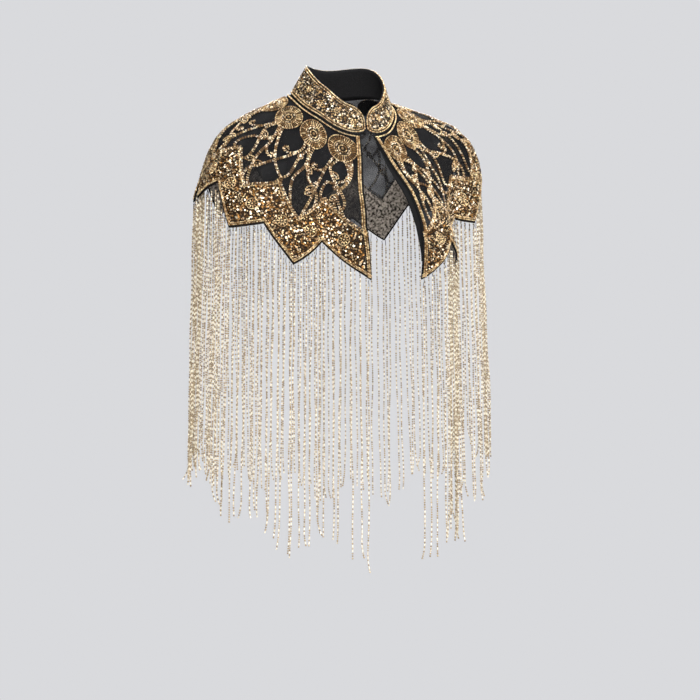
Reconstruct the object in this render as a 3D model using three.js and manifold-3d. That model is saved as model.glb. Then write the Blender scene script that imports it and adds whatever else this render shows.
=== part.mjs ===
// A beaded cape as it is worn: a sheer yoke cut in three pieces, a stand collar that meets at the
// throat, a zigzag border, beaded rosettes and vines, and a fringe of bead strands along the hem.
// Millimetres, +Z up. The origin is the middle of the neck seam; the front is -Y and the wearer's
// left is +X. A place on the cloth is a turn, in degrees from the middle front towards the wearer's
// left, and a cut, in mm along the cloth from the neck seam down to the hem.
import * as THREE from "three";
import { mergeVertices } from "three/addons/utils/BufferGeometryUtils.js";
import Module from "manifold-3d";

const wasm = await Module();
wasm.setup();

// The neck seam: a ring that dips in front and lies flatter at the back.
const NECK = { halfWidth: 71, front: 70.6, back: 76, dip: 39.4, flatBack: 30.3, frontDip: 9.4 };

// How the cloth lies along eight lines from the neck seam to the hem. Slopes are in degrees below
// level, at the neck and at the hem, and the cloth turns over round one cut length, in mm.
const LIES = [
  { turn: 0, atNeck: 50.8, atHem: 96.1, turnsAt: 122.8 },
  { turn: 45, atNeck: 53.2, atHem: 80.1, turnsAt: 118.3 },
  { turn: 90, atNeck: 13.8, atHem: 81, turnsAt: 132.2 },
  { turn: 135, atNeck: 35.8, atHem: 83.6, turnsAt: 87.2 },
  { turn: 180, atNeck: 42, atHem: 82, turnsAt: 100 },
  { turn: 225, atNeck: 27.8, atHem: 76.1, turnsAt: 99.5 },
  { turn: 270, atNeck: 26.5, atHem: 63.8, turnsAt: 136.2 },
  { turn: 315, atNeck: 60.6, atHem: 77.8, turnsAt: 143.9 },
];
const TURN_OVER = 110; // the length over which the slope changes

// Soft folds that fall from the shoulders: how far each pushes the hem out (in, below zero).
const FOLDS = [
  { turn: 18, push: 27.8 },
  { turn: 38, push: 22.5 },
  { turn: 58, push: -27.9 },
  { turn: 95, push: 6.5 },
  { turn: 140, push: 7.1 },
  { turn: 163, push: -6.1 },
  { turn: 196, push: 8.1 },
  { turn: 220, push: -5.7 },
  { turn: 260, push: -17.9 },
  { turn: 300, push: 25.4 },
  { turn: 342, push: 14.2 },
];
const FOLD = { width: 15, starts: 60, full: 220 }; // degrees, and the cuts between which a fold grows

// Half the gap between the two front edges.
const FRONT_GAP = [
  { cut: 0, half: 10 },
  { cut: 50, half: 21 },
  { cut: 100, half: 34 },
  { cut: 150, half: 41 },
  { cut: 240, half: 35 },
];

// The zigzag hem: teeth between these cuts, and the half teeth that start at each front edge.
const HEM = {
  tip: 222.7,
  notch: 180.8,
  firstHalves: [68, 42, 50, 50, 49, 49, 38, 38, 39, 40],
  deeper: [0, -3, 0, 6, -3, 0, 0, 0, 0, 10, 0, 0, -8], // added to each cut, counted from either front edge
  evenHalves: 6,
  seamAfter: 8,
};
const HEM_BACK = { longer: 20, from: 90, to: 190, over: 45 }; // mm, and the turns where it hangs longer
const BORDER = 60; // the sequinned border's width, along the cut

const CLOTH = 1.2; // wall of the yoke
const GAP = 0.3; // between neighbouring pieces
const SKIN = CLOTH + GAP; // the lowest that anything lies on the yoke
const RAISED = { border: 1.5, edging: 2.2, rosette: 2.4, vine: 2 };

const COLLAR = { height: 44.8, foot: 1.9, wall: 1.6, forward: 14.7, inward: 25.1, ends: 1.2, plain: 24 };
const COLLAR_CORNER = { radius: 24, underside: 0.4, steps: [0, 0.12, 0.4, 1] };
const EDGING = { width: 7, neckTop: 2.5, neckWidth: 4.5, collarWidth: 5 };
const ROSETTE = { count: 13, radius: 22, cut: 31, firstTurn: 28, sides: 11 };
const VINE = { width: 4.6, top: 56, swing: 0.25, inset: 0.15, apart: 0.1, steps: 4 };
const STRAND = { length: 394, radius: 1.5, rootRadius: 0.8, sides: 3, rootUp: 0.2, lean: 16, uneven: 7 };
const STRIP = { below: 0.6, width: 3.4, inner: 0, outer: 1.4 };
const STRAND_SPOTS = [0.05, 0.23, 0.41, 0.59, 0.77, 0.94]; // along each half tooth, from tip to notch

const ROWS = { underCollar: 2, yoke: 5, border: 3 };
const BORDER_ROW = ROWS.underCollar + ROWS.yoke; // where the border starts in a column
const STEPS = 48; // for adding up the slope along a cut
const CUTTER = { inside: 8, outside: 10 }; // how far a cutting shape stands through the cloth

const RAD = Math.PI / 180;

// ---- where the cloth lies ----

const lieCurve = new THREE.CatmullRomCurve3(
  LIES.map((row) => new THREE.Vector3(row.atNeck, row.atHem, row.turnsAt)),
  true,
  "catmullrom",
  0.5,
);

const wrap = (turn) => ((turn % 360) + 360) % 360;
const smooth = (t) => {
  const c = THREE.MathUtils.clamp(t, 0, 1);
  return c * c * (3 - 2 * c);
};

function foldPush(turn, cut) {
  const grown = smooth((cut - FOLD.starts) / (FOLD.full - FOLD.starts));
  const push = FOLDS.map((fold) => {
    const away = wrap(turn - fold.turn + 180) - 180;
    return fold.push * Math.exp(-((away / FOLD.width) ** 2));
  });
  return grown * push.reduce((sum, one) => sum + one, 0);
}

// The point of the yoke's inner face at a turn and a cut.
function lie(turn, cut) {
  const row = lieCurve.getPoint(wrap(turn) / 360);
  const step = cut / STEPS;
  let out = foldPush(turn, cut);
  let drop = 0;
  for (let i = 0; i < STEPS; i++) {
    const over = smooth(((i + 0.5) * step - row.z) / TURN_OVER + 0.5);
    const slope = (row.x + (row.y - row.x) * over) * RAD;
    out += Math.cos(slope) * step;
    drop += Math.sin(slope) * step;
  }
  const ahead = Math.cos(turn * RAD);
  const depth = ahead > 0 ? NECK.front : NECK.back;
  const flat = ahead < 0 ? NECK.flatBack * ahead * ahead : 0;
  return new THREE.Vector3(
    (NECK.halfWidth + out) * Math.sin(turn * RAD),
    -(depth + out) * ahead,
    -NECK.dip * ahead - flat - NECK.frontDip * smooth(2 * ahead - 1) - drop,
  );
}

// The way out of the cloth at a place, square to it.
function outward(turn, cut) {
  const acrossCloth = lie(turn + 0.5, cut).sub(lie(turn - 0.5, cut));
  const downCloth = lie(turn, cut + 0.5).sub(lie(turn, Math.max(cut - 0.5, 0)));
  return downCloth.cross(acrossCloth).normalize();
}

const place = (turn, cut) => ({ p: lie(turn, cut), n: outward(turn, cut) });
const between = (a, b, t) => ({
  p: a.p.clone().lerp(b.p, t),
  n: a.n.clone().lerp(b.n, t).normalize(),
});
// A place moved towards another by a length.
const towards = (spot, other, by) => between(spot, other, by / spot.p.distanceTo(other.p));
const raised = (spot, height) => spot.p.clone().addScaledVector(spot.n, height);

// The turn, short of the middle front, at which a front edge lies at a cut.
function edgeTurn(side, cut, inset = 0) {
  const k = FRONT_GAP.findIndex((row) => row.cut >= cut - 1e-9);
  const high = FRONT_GAP[Math.max(k, 1)];
  const low = FRONT_GAP[Math.max(k, 1) - 1];
  const half = THREE.MathUtils.mapLinear(cut, low.cut, high.cut, low.half, high.half) + inset;
  let turn = 12; // a first guess, closed in on below
  for (let i = 0; i < 12; i++) turn *= half / Math.abs(lie(side * turn, cut).x);
  return turn;
}

// ---- the hem's teeth, laid out along the cloth from the left front edge round the back ----

// Lengths along the cloth at one cut: a function from a length to its turn, and the whole length.
function measuredRing(cut, from, to, count = 360) {
  const turns = Array.from({ length: count + 1 }, (_, i) => from + ((to - from) * i) / count);
  const lengths = [0];
  turns.slice(1).forEach((turn, i) => {
    lengths.push(lengths[i] + lie(turn, cut).distanceTo(lie(turns[i], cut)));
  });
  const turnAt = (length) => {
    const i = Math.max(lengths.findIndex((one) => one >= length), 1);
    return THREE.MathUtils.mapLinear(length, lengths[i - 1], lengths[i], turns[i - 1], turns[i]);
  };
  return { total: lengths[count], turnAt };
}

const leftEdge = edgeTurn(1, HEM.tip);
const rightEdge = 360 - edgeTurn(-1, HEM.tip);

function hemKnots() {
  const ring = measuredRing((HEM.tip + HEM.notch) / 2, leftEdge, rightEdge);
  const ends = HEM.firstHalves;
  const endsLength = ends.reduce((sum, one) => sum + one, 0);
  const even = (ring.total - 2 * endsLength) / HEM.evenHalves;
  const halves = [...ends, ...Array(HEM.evenHalves).fill(even), ...[...ends].reverse()];
  let length = 0;
  const knots = [{ turn: leftEdge, cut: HEM.tip }];
  halves.forEach((half, i) => {
    length = Math.min(length + half, ring.total - 1e-6);
    const turn = ring.turnAt(length);
    const { from, to, over } = HEM_BACK;
    const longer = HEM_BACK.longer * smooth((turn - from) / over) * smooth((to - turn) / over);
    const deeper = HEM.deeper[Math.min(i + 1, halves.length - i - 1)] ?? 0;
    knots.push({ turn, cut: (i % 2 ? HEM.tip : HEM.notch) + deeper + longer });
  });
  return knots;
}
const knots = hemKnots();

// A place on the hem, in half teeth from the left front edge.
function hemAt(halves) {
  const i = Math.min(Math.floor(halves), knots.length - 2);
  const t = halves - i;
  return {
    turn: THREE.MathUtils.lerp(knots[i].turn, knots[i + 1].turn, t),
    cut: THREE.MathUtils.lerp(knots[i].cut, knots[i + 1].cut, t),
  };
}

// The cloth's grain follows each front edge and straightens out by the shoulder.
function grainTurn(hemTurn, cut) {
  const side = hemTurn < 180 ? 1 : -1;
  const from = side > 0 ? hemTurn : 360 - hemTurn;
  if (from >= 90) return hemTurn;
  const hemEdge = side > 0 ? leftEdge : 360 - rightEdge;
  const edge = edgeTurn(side, cut);
  const turn = edge + ((from - hemEdge) * (90 - edge)) / (90 - hemEdge);
  return side > 0 ? turn : 360 - turn;
}

// ---- grids of places: a list of columns, each a list of places from the neck to the hem ----

function rowCuts(hemCut) {
  const top = hemCut - BORDER;
  const neck = [GAP, EDGING.neckTop, EDGING.neckTop + EDGING.neckWidth];
  const evenly = (from, to, count) =>
    Array.from({ length: count }, (_, j) => from + ((to - from) * (j + 1)) / count);
  return [...neck, ...evenly(neck[2], top, ROWS.yoke), ...evenly(top, hemCut, ROWS.border)];
}

const columnAt = ({ turn, cut }) => rowCuts(cut).map((one) => place(grainTurn(turn, one), one));

// The column a trim's width in from a front edge.
function insetColumn(side) {
  return rowCuts(HEM.tip - EDGING.width).map((cut) => {
    const turn = edgeTurn(side, cut, EDGING.width);
    return place(side > 0 ? turn : 360 - turn, cut);
  });
}

const half = (i) => i / 2;
const hemColumns = Array.from({ length: 2 * (knots.length - 1) + 1 }, (_, i) =>
  columnAt(hemAt(half(i))),
);
const leftInset = insetColumn(1);
const rightInset = insetColumn(-1);

// Columns pulled in by a length at their start and end, so that neighbours stay parted.
function parted(columns, atStart, atEnd) {
  const pull = (column, next, by) => column.map((spot, j) => towards(spot, next[j], by));
  const made = [...columns];
  if (atStart) made[0] = pull(columns[0], columns[1], atStart);
  const last = columns.length - 1;
  if (atEnd) made[last] = pull(columns[last], columns[last - 1], atEnd);
  return made;
}

const seam = 2 * HEM.seamAfter;
const lastColumn = hemColumns.length - 1;
const leftColumns = [hemColumns[0], leftInset, ...hemColumns.slice(1, seam + 1)];
const backColumns = hemColumns.slice(seam, lastColumn - seam + 1);
const rightColumns = [
  ...hemColumns.slice(lastColumn - seam, lastColumn),
  rightInset,
  hemColumns[lastColumn],
];

// ---- solids ----

// A closed wall over a grid of places, from one height above the cloth to another.
function wall(columns, low, high, closed = false) {
  const rows = columns[0].length;
  const spots = columns.flat();
  const n = spots.length;
  const faces = [];
  const span = closed ? columns.length : columns.length - 1;
  for (let i = 0; i < span; i++) {
    for (let j = 0; j < rows - 1; j++) {
      const a = i * rows + j;
      const b = ((i + 1) % columns.length) * rows + j;
      faces.push([a, a + 1, b + 1], [a, b + 1, b]);
    }
  }
  const index = [];
  const open = new Map();
  faces.forEach((face) => {
    index.push(...face.map((v) => v + n), ...[...face].reverse());
    face.forEach((from, k) => {
      const to = face[(k + 1) % 3];
      if (!open.delete(to + ":" + from)) open.set(from + ":" + to, [from, to]);
    });
  });
  open.forEach(([from, to]) => {
    index.push(to + n, from + n, from, to + n, from, to);
  });
  const points = [...spots.map((s) => raised(s, low)), ...spots.map((s) => raised(s, high))];
  const geometry = new THREE.BufferGeometry().setFromPoints(points);
  geometry.setIndex(index);
  return geometry;
}

function toSolid(geometry) {
  const bare = geometry.clone();
  bare.deleteAttribute("normal");
  bare.deleteAttribute("uv");
  const merged = mergeVertices(bare, 1e-4);
  return new wasm.Manifold(
    new wasm.Mesh({
      numProp: 3,
      vertProperties: new Float32Array(merged.attributes.position.array),
      triVerts: new Uint32Array(merged.index.array),
    }),
  );
}

function fromSolid(solid) {
  const made = solid.getMesh();
  const geometry = new THREE.BufferGeometry();
  geometry.setAttribute("position", new THREE.BufferAttribute(new Float32Array(made.vertProperties), 3));
  geometry.setIndex(new THREE.BufferAttribute(new Uint32Array(made.triVerts), 1));
  return geometry;
}

// A bar of four-cornered sections, one list of four corners a station, closed at both ends.
function bar(stations) {
  const index = [];
  const sides = stations[0].length;
  for (let i = 0; i < stations.length - 1; i++) {
    for (let k = 0; k < sides; k++) {
      const a = i * sides + k;
      const b = i * sides + ((k + 1) % sides);
      index.push(a, b, b + sides, a, b + sides, a + sides);
    }
  }
  const end = (stations.length - 1) * sides;
  for (let k = 1; k < sides - 1; k++) index.push(0, k + 1, k, end, end + k, end + k + 1);
  const geometry = new THREE.BufferGeometry().setFromPoints(stations.flat());
  geometry.setIndex(index);
  return geometry;
}

const group = new THREE.Group();
group.name = "beaded_cape";

function add(name, geometry, material) {
  geometry.computeVertexNormals();
  const mesh = new THREE.Mesh(geometry, material);
  mesh.name = name;
  group.add(mesh);
}

const mesh = new THREE.MeshStandardMaterial({ color: 0x1b1a1c, roughness: 0.8, metalness: 0 });
const sequins = new THREE.MeshStandardMaterial({ color: 0x9a7434, roughness: 0.35, metalness: 0.8 });
const beads = new THREE.MeshStandardMaterial({ color: 0xc9a765, roughness: 0.3, metalness: 0.7 });
const strandBeads = new THREE.MeshStandardMaterial({ color: 0xd9c7a0, roughness: 0.3, metalness: 0.5 });

// ---- the yoke and its border ----

function addYoke() {
  add("yoke_left", wall(parted(leftColumns, 0, GAP / 2), 0, CLOTH), mesh);
  add("yoke_back", wall(parted(backColumns, GAP / 2, GAP / 2), 0, CLOTH), mesh);
  add("yoke_right", wall(parted(rightColumns, GAP / 2, 0), 0, CLOTH), mesh);
}

function addBorder() {
  const band = (columns) => columns.map((column) => column.slice(BORDER_ROW));
  const top = SKIN + RAISED.border;
  add("border_left", wall(parted(band(leftColumns.slice(1)), GAP, GAP / 2), SKIN, top), sequins);
  add("border_back", wall(parted(band(backColumns), GAP / 2, GAP / 2), SKIN, top), sequins);
  add("border_right", wall(parted(band(rightColumns.slice(0, -1)), GAP / 2, GAP), SKIN, top), sequins);
}

// Double rows of beads: down the two front edges, and round the yoke under the collar.
function addEdgings() {
  const high = SKIN + RAISED.edging;
  const top = ROWS.underCollar;
  const belowNeck = (column) => [towards(column[top], column[top + 1], GAP), ...column.slice(top + 1)];
  add("edging_left", wall([hemColumns[0], leftInset].map(belowNeck), SKIN, high), beads);
  add("edging_right", wall([rightInset, hemColumns[lastColumn]].map(belowNeck), SKIN, high), beads);
  const round = [...leftColumns, ...backColumns.slice(1, -1), ...rightColumns];
  add("neck_edging", wall(round.map((column) => column.slice(1, top + 1)), SKIN, high), beads);
}

// ---- the stand collar ----

// A place on the collar: how far up it stands, along its own tilted axis.
function collarPlace(turn, up) {
  const foot = (t) => lie(t, 0);
  const tilt = COLLAR.forward * RAD;
  const lean = COLLAR.inward * RAD;
  const axis = new THREE.Vector3(0, -Math.sin(tilt), Math.cos(tilt));
  const out = new THREE.Vector3(Math.sin(turn * RAD), -Math.cos(turn * RAD), 0);
  const rise = axis.multiplyScalar(Math.cos(lean)).addScaledVector(out, -Math.sin(lean));
  const along = foot(turn + 0.5).sub(foot(turn - 0.5)).normalize();
  return {
    p: foot(turn).addScaledVector(rise, up),
    n: along.clone().cross(rise).normalize(),
  };
}

// The collar's top and bottom at a length from its rounded front end.
function collarRise(fromEnd) {
  const r = COLLAR_CORNER.radius;
  const d = THREE.MathUtils.clamp(r - fromEnd, 0, r);
  const round = r - Math.sqrt(r * r - d * d);
  return { low: COLLAR.foot + round * COLLAR_CORNER.underside, high: COLLAR.height - round };
}

// Columns round the collar, each from the top edge down to the neck seam.
function collarColumns() {
  const { ends, plain, height } = COLLAR;
  const full = Math.PI * (NECK.halfWidth + NECK.front);
  const corner = COLLAR_CORNER.steps.map((step) => step * COLLAR_CORNER.radius + ends);
  const from = corner[corner.length - 1];
  const lengths = [
    ...corner,
    ...Array.from({ length: plain }, (_, i) => from + ((full - 2 * from) * (i + 1)) / (plain + 1)),
    ...[...corner].reverse().map((length) => full - length),
  ];
  return lengths.map((length) => {
    const { low, high } = collarRise(Math.min(length, full - length) - ends);
    const edging = (EDGING.collarWidth * (high - low)) / height;
    const rises = [high, high - edging, (high + low) / 2, low + edging, low];
    return rises.map((rise) => collarPlace((length / full) * 360, rise));
  });
}

function addCollar() {
  const columns = collarColumns();
  const low = COLLAR.wall + GAP;
  const high = low + RAISED.edging;
  add("collar", wall(columns, 0, COLLAR.wall), sequins);
  add("collar_top_edging", wall(columns.map((column) => column.slice(0, 2)), low, high), beads);
  add("collar_foot_edging", wall(columns.map((column) => column.slice(-2)), low, high), beads);
}

// ---- rosettes and vines: cut out of a layer that lies on the yoke ----

const yokeRound = [...leftColumns.slice(1), ...backColumns.slice(1, -1), ...rightColumns.slice(0, -1)];

// The layer over the yoke between the edgings and the border, up to a height.
function layer(height) {
  const clear = parted(yokeRound, GAP, GAP).map((column) => {
    const kept = column.slice(ROWS.underCollar, BORDER_ROW + 1);
    const last = kept.length - 1;
    const first = towards(kept[0], kept[1], GAP);
    return [first, ...kept.slice(1, last), towards(kept[last], kept[last - 1], GAP)];
  });
  return toSolid(wall(clear, SKIN, SKIN + height));
}

// A round post through the cloth at a place.
function post(turn, cut, radius) {
  const { p, n } = place(turn, cut);
  const geometry = new THREE.CylinderGeometry(radius, radius, 2 * CUTTER.outside, ROSETTE.sides);
  geometry.applyQuaternion(new THREE.Quaternion().setFromUnitVectors(new THREE.Vector3(0, 1, 0), n));
  geometry.translate(p.x, p.y, p.z);
  return toSolid(geometry);
}

const rosetteRing = measuredRing(ROSETTE.cut, ROSETTE.firstTurn, 360 - ROSETTE.firstTurn);
const rosetteTurns = Array.from({ length: ROSETTE.count }, (_, i) =>
  rosetteRing.turnAt(Math.max((rosetteRing.total * i) / (ROSETTE.count - 1) - 1e-6, 1e-6)),
);

function addRosettes() {
  const cloth = layer(RAISED.rosette);
  rosetteTurns.forEach((turn, i) => {
    const disc = cloth.intersect(post(turn, ROSETTE.cut, ROSETTE.radius));
    add("rosette_" + String(i + 1).padStart(2, "0"), fromSolid(disc), beads);
  });
}

// A vine's route over one half tooth, swinging from under the rosettes down to the border.
function vineRoute(halfTooth) {
  return Array.from({ length: VINE.steps + 1 }, (_, i) => {
    const t = i / VINE.steps;
    const swung = VINE.inset + (1 - 2 * VINE.inset) * smooth(t) + VINE.swing * Math.sin(2 * Math.PI * t);
    const { turn, cut } = hemAt(halfTooth + (halfTooth % 2 ? 1 - swung : swung));
    const down = VINE.top + (cut - BORDER - VINE.top) * t;
    return { turn: grainTurn(turn, down), cut: down };
  });
}

// A curtain of the vine's width that stands through the cloth along a route.
function curtain(route, width) {
  const spots = route.map(({ turn, cut }) => place(turn, cut));
  const stations = spots.map((spot, i) => {
    const ahead = spots[Math.min(i + 1, spots.length - 1)].p;
    const behind = spots[Math.max(i - 1, 0)].p;
    const side = ahead.clone().sub(behind).cross(spot.n).normalize();
    const corner = (across, up) => raised(spot, up).addScaledVector(side, (across * width) / 2);
    return [
      corner(-1, -CUTTER.inside),
      corner(-1, CUTTER.outside),
      corner(1, CUTTER.outside),
      corner(1, -CUTTER.inside),
    ];
  });
  return toSolid(bar(stations));
}

// The line of beads along the border's top edge, which joins a piece's vines.
function borderLine(from, to) {
  const inner = Array.from({ length: 2 * (to - from) - 1 }, (_, i) => from + half(i + 1));
  return [from + VINE.apart, ...inner, to - VINE.apart].map((at) => {
    const { turn, cut } = hemAt(at);
    const down = cut - BORDER - VINE.width / 2;
    return { turn: grainTurn(turn, down), cut: down };
  });
}

function addVines(name, from, to) {
  let vines = curtain(borderLine(from, to), VINE.width);
  for (let at = from; at < to; at++) vines = vines.add(curtain(vineRoute(at), VINE.width));
  add(name, fromSolid(layer(RAISED.vine).intersect(vines)), beads);
}

// ---- the fringe ----

// A repeatable uneven number between -1 and 1.
const uneven = (i) => 2 * ((((i * 37) % 101) + 101) % 101) / 100 - 1;

// One strand: three-sided, from inside the strip down to its end, leaning out at the sides.
function strand(root, turn, i) {
  const out = Math.sin(turn * RAD);
  const lean = STRAND.lean * Math.sign(out) * Math.abs(out) ** 3;
  const length = STRAND.length + STRAND.uneven * uneven(i);
  const top = root.clone();
  top.z += STRAND.rootUp;
  const end = root.clone().add(new THREE.Vector3(lean, 0, -length));
  const ring = (centre, radius) =>
    Array.from({ length: STRAND.sides }, (_, k) => {
      const a = (2 * Math.PI * k) / STRAND.sides + turn * RAD;
      return centre.clone().add(new THREE.Vector3(Math.cos(a), Math.sin(a), 0).multiplyScalar(radius));
    });
  return toSolid(bar([ring(end, STRAND.radius), ring(top, STRAND.rootRadius)]));
}

// The strip that the strands hang from, just below the edge of the cloth, with its strands.
function fringe(fromHalf, toHalf) {
  const stops = Array.from({ length: 2 * (toHalf - fromHalf) + 1 }, (_, i) => fromHalf + i / 2);
  const stripPlace = (at, below) => {
    const { turn, cut } = hemAt(at);
    return place(grainTurn(turn, cut), cut + below);
  };
  const edges = [STRIP.below, STRIP.below + STRIP.width];
  const strip = parted(stops.map((at) => edges.map((below) => stripPlace(at, below))), GAP, GAP);
  let made = toSolid(wall(strip, STRIP.inner, STRIP.outer));
  for (let tooth = fromHalf; tooth < toHalf; tooth++) {
    STRAND_SPOTS.forEach((spot, k) => {
      const at = tooth + (tooth % 2 ? 1 - spot : spot);
      const i = Math.floor(2 * (at - fromHalf));
      const [upper, lower] = [0, 1].map((row) =>
        between(strip[i][row], strip[i + 1][row], 2 * (at - fromHalf) - i),
      );
      const root = raised(between(upper, lower, 0.5), (STRIP.inner + STRIP.outer) / 2);
      made = made.add(strand(root, hemAt(at).turn, tooth * STRAND_SPOTS.length + k));
    });
  }
  return fromSolid(made);
}

addYoke();
addBorder();
addEdgings();
addCollar();
addRosettes();

const allHalves = knots.length - 1;
const span = {
  left: [0, HEM.seamAfter],
  back: [HEM.seamAfter, allHalves - HEM.seamAfter],
  right: [allHalves - HEM.seamAfter, allHalves],
};
Object.entries(span).forEach(([side, [from, to]]) => {
  addVines("vines_" + side, from, to);
  add("fringe_" + side, fringe(from, to), strandBeads);
});

export default group;
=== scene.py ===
import bpy
import numpy as np
from mathutils import Matrix, Vector


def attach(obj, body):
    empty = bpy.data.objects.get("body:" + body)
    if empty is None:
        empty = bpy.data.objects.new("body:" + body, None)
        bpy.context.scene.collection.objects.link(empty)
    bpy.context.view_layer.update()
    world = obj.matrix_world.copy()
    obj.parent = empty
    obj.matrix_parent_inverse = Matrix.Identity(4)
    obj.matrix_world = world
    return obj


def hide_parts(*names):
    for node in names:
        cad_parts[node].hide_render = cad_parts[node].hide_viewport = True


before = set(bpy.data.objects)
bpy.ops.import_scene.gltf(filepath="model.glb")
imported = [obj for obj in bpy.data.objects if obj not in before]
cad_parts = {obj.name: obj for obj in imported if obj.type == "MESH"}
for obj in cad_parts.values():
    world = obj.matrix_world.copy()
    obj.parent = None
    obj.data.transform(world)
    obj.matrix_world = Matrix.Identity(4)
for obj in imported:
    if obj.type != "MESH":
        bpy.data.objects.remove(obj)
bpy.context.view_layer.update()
rng = np.random.default_rng(11)

# Shapes are worked out in millimetres and turned into metres when their mesh is made.
# A place on the cloth is a turn, in degrees from the middle front towards the wearer's left,
# and a cut, the length down the cloth from the neck seam.
neckRing = dict(halfWidth=71, front=70.6, back=76, dip=39.4, flatBack=30.3, frontDip=9.4)
clothLie = dict(  # one value every 45 degrees of turn, slopes in degrees below level
    atNeck=[50.8, 53.2, 13.8, 35.8, 42, 27.8, 26.5, 60.6],
    atHem=[96.1, 80.1, 81, 83.6, 82, 76.1, 63.8, 77.8],
    turnsAt=[122.8, 118.3, 132.2, 87.2, 100, 99.5, 136.2, 143.9],
    turnOver=110.0,
)
clothFolds = dict(
    turn=[18, 38, 58, 95, 140, 163, 196, 220, 260, 300, 342],
    push=[27.8, 22.5, -27.9, 6.5, 7.1, -6.1, 8.1, -5.7, -17.9, 25.4, 14.2],
    width=15.0, starts=60.0, full=220.0,
)
frontGap = dict(cut=[0, 50, 100, 150, 240], half=[10, 21, 34, 41, 35])
hem = dict(  # half teeth are counted from the left front edge, round the back, to the right one
    tip=222.7, notch=180.8, border=60.0, evenHalves=6, seamAfter=8,
    firstHalves=[68, 42, 50, 50, 49, 49, 38, 38, 39, 40],
    deeper=[0, -3, 0, 6, -3, 0, 0, 0, 0, 10, 0, 0, -8],
    backLonger=20.0, longerFrom=90.0, longerTo=190.0, longerOver=45.0,
)
creases = dict(amount=1.0, starts=8.0, full=48.0)
clothTableSize = dict(perDegree=2, deepest=264)


def smoothStep(t):
    t = np.clip(t, 0, 1)
    return t * t * (3 - 2 * t)


def roundTheNeck(values, turn):
    # a closed curve through one value every 45 degrees, a cubic through four neighbours at a time
    values = np.asarray(values, float)
    t = np.mod(turn, 360) / 45
    i = np.floor(t).astype(int)
    u = t - i
    a, b, c, d = (values[(i + k) % 8] for k in (-1, 0, 1, 2))
    return 0.5 * (2 * b + (c - a) * u + (2 * a - 5 * b + 4 * c - d) * u**2 + (3 * b - a - 3 * c + d) * u**3)


def bareCloth(turns, cuts):
    # out and drop are the running sums of the slope's cosine and sine down the cut; a fold adds to
    # out; then x = (halfWidth + out) sin turn, y = -(depth + out) cos turn, z = -dip cos turn - drop
    middle = (cuts[1:] + cuts[:-1]) / 2
    atNeck, atHem, turnsAt = (
        roundTheNeck(clothLie[key], turns)[:, None] for key in ("atNeck", "atHem", "turnsAt")
    )
    over = smoothStep((middle - turnsAt) / clothLie["turnOver"] + 0.5)
    slope = np.radians(atNeck + (atHem - atNeck) * over)
    step = np.diff(cuts)
    start = np.zeros((len(turns), 1))
    out = np.hstack([start, np.cumsum(np.cos(slope) * step, axis=1)])
    drop = np.hstack([start, np.cumsum(np.sin(slope) * step, axis=1)])
    away = np.mod(turns[:, None] - np.array(clothFolds["turn"]) + 180, 360) - 180
    push = (np.exp(-((away / clothFolds["width"]) ** 2)) * np.array(clothFolds["push"])).sum(axis=1)
    grown = smoothStep((cuts - clothFolds["starts"]) / (clothFolds["full"] - clothFolds["starts"]))
    out = out + push[:, None] * grown
    angle = np.radians(turns)[:, None]
    ahead = np.cos(angle)
    depth = np.where(ahead > 0, neckRing["front"], neckRing["back"])
    flat = np.where(ahead < 0, neckRing["flatBack"] * ahead**2, 0)
    return np.stack([
        (neckRing["halfWidth"] + out) * np.sin(angle),
        -(depth + out) * ahead,
        -neckRing["dip"] * ahead - flat - neckRing["frontDip"] * smoothStep(2 * ahead - 1) - drop,
    ], axis=-1)


def unit(v):
    return v / np.maximum(np.linalg.norm(v, axis=-1, keepdims=True), 1e-9)


def runLengths(line):
    # the length along a line of points, up to each of them
    return np.concatenate([[0], np.cumsum(np.linalg.norm(np.diff(line, axis=0), axis=1))])


def outOfCloth(table):
    # the way out of a grid of places: down the cloth, crossed with across it
    wrapped = np.concatenate([table[-2:-1], table, table[1:2]])
    across = wrapped[2:] - wrapped[:-2]
    return unit(np.cross(np.gradient(table, axis=1), across))


tableSteps = 360 * clothTableSize["perDegree"]
tableTurns = np.linspace(0, 360, tableSteps + 1)
tableCuts = np.arange(0, float(clothTableSize["deepest"]))
bareTable = bareCloth(tableTurns, tableCuts)


def creasePattern():
    # three slow waves round the cape, bent a little by the cut, so that the net lies unevenly
    a = np.radians(tableTurns)[:, None]
    c = tableCuts[None]
    waves = 0.5 * np.sin(11 * a + 0.9 * np.sin(c / 31)) + 0.4 * np.sin(23 * a - c / 47 + 1.3)
    waves = waves + 0.25 * np.sin(41 * a + c / 23)
    return creases["amount"] * waves * smoothStep((c - creases["starts"]) / creases["full"])


clothTable = bareTable + outOfCloth(bareTable) * creasePattern()[..., None]
normalTable = outOfCloth(clothTable)


def tableAt(table, turn, cut):
    # the value between the four nearest places of the table
    turn, cut = np.broadcast_arrays(np.asarray(turn, float), np.asarray(cut, float))
    s = np.mod(turn, 360) * clothTableSize["perDegree"]
    c = np.clip(cut, 0, len(tableCuts) - 1.001)
    i, j = np.floor(s).astype(int), np.floor(c).astype(int)
    u, v = (s - i)[..., None], (c - j)[..., None]
    k = np.minimum(i + 1, tableSteps)
    upper = table[i, j] * (1 - u) + table[k, j] * u
    lower = table[i, j + 1] * (1 - u) + table[k, j + 1] * u
    return upper * (1 - v) + lower * v


def onCloth(turn, cut, height=0.0):
    normal = unit(tableAt(normalTable, turn, cut))
    return tableAt(clothTable, turn, cut) + normal * np.asarray(height)[..., None], normal


def edgeTurn(side, cut, inset=0.0):
    # the turn at which the cloth's x equals half the front gap, closed in on from a first guess
    firstGuess, rounds = 12.0, 12
    half = np.interp(cut, frontGap["cut"], frontGap["half"]) + inset
    turn = np.full(np.shape(half), firstGuess)
    for _ in range(rounds):
        turn = turn * half / np.abs(tableAt(bareTable, side * turn, cut)[..., 0])
    return turn


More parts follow.
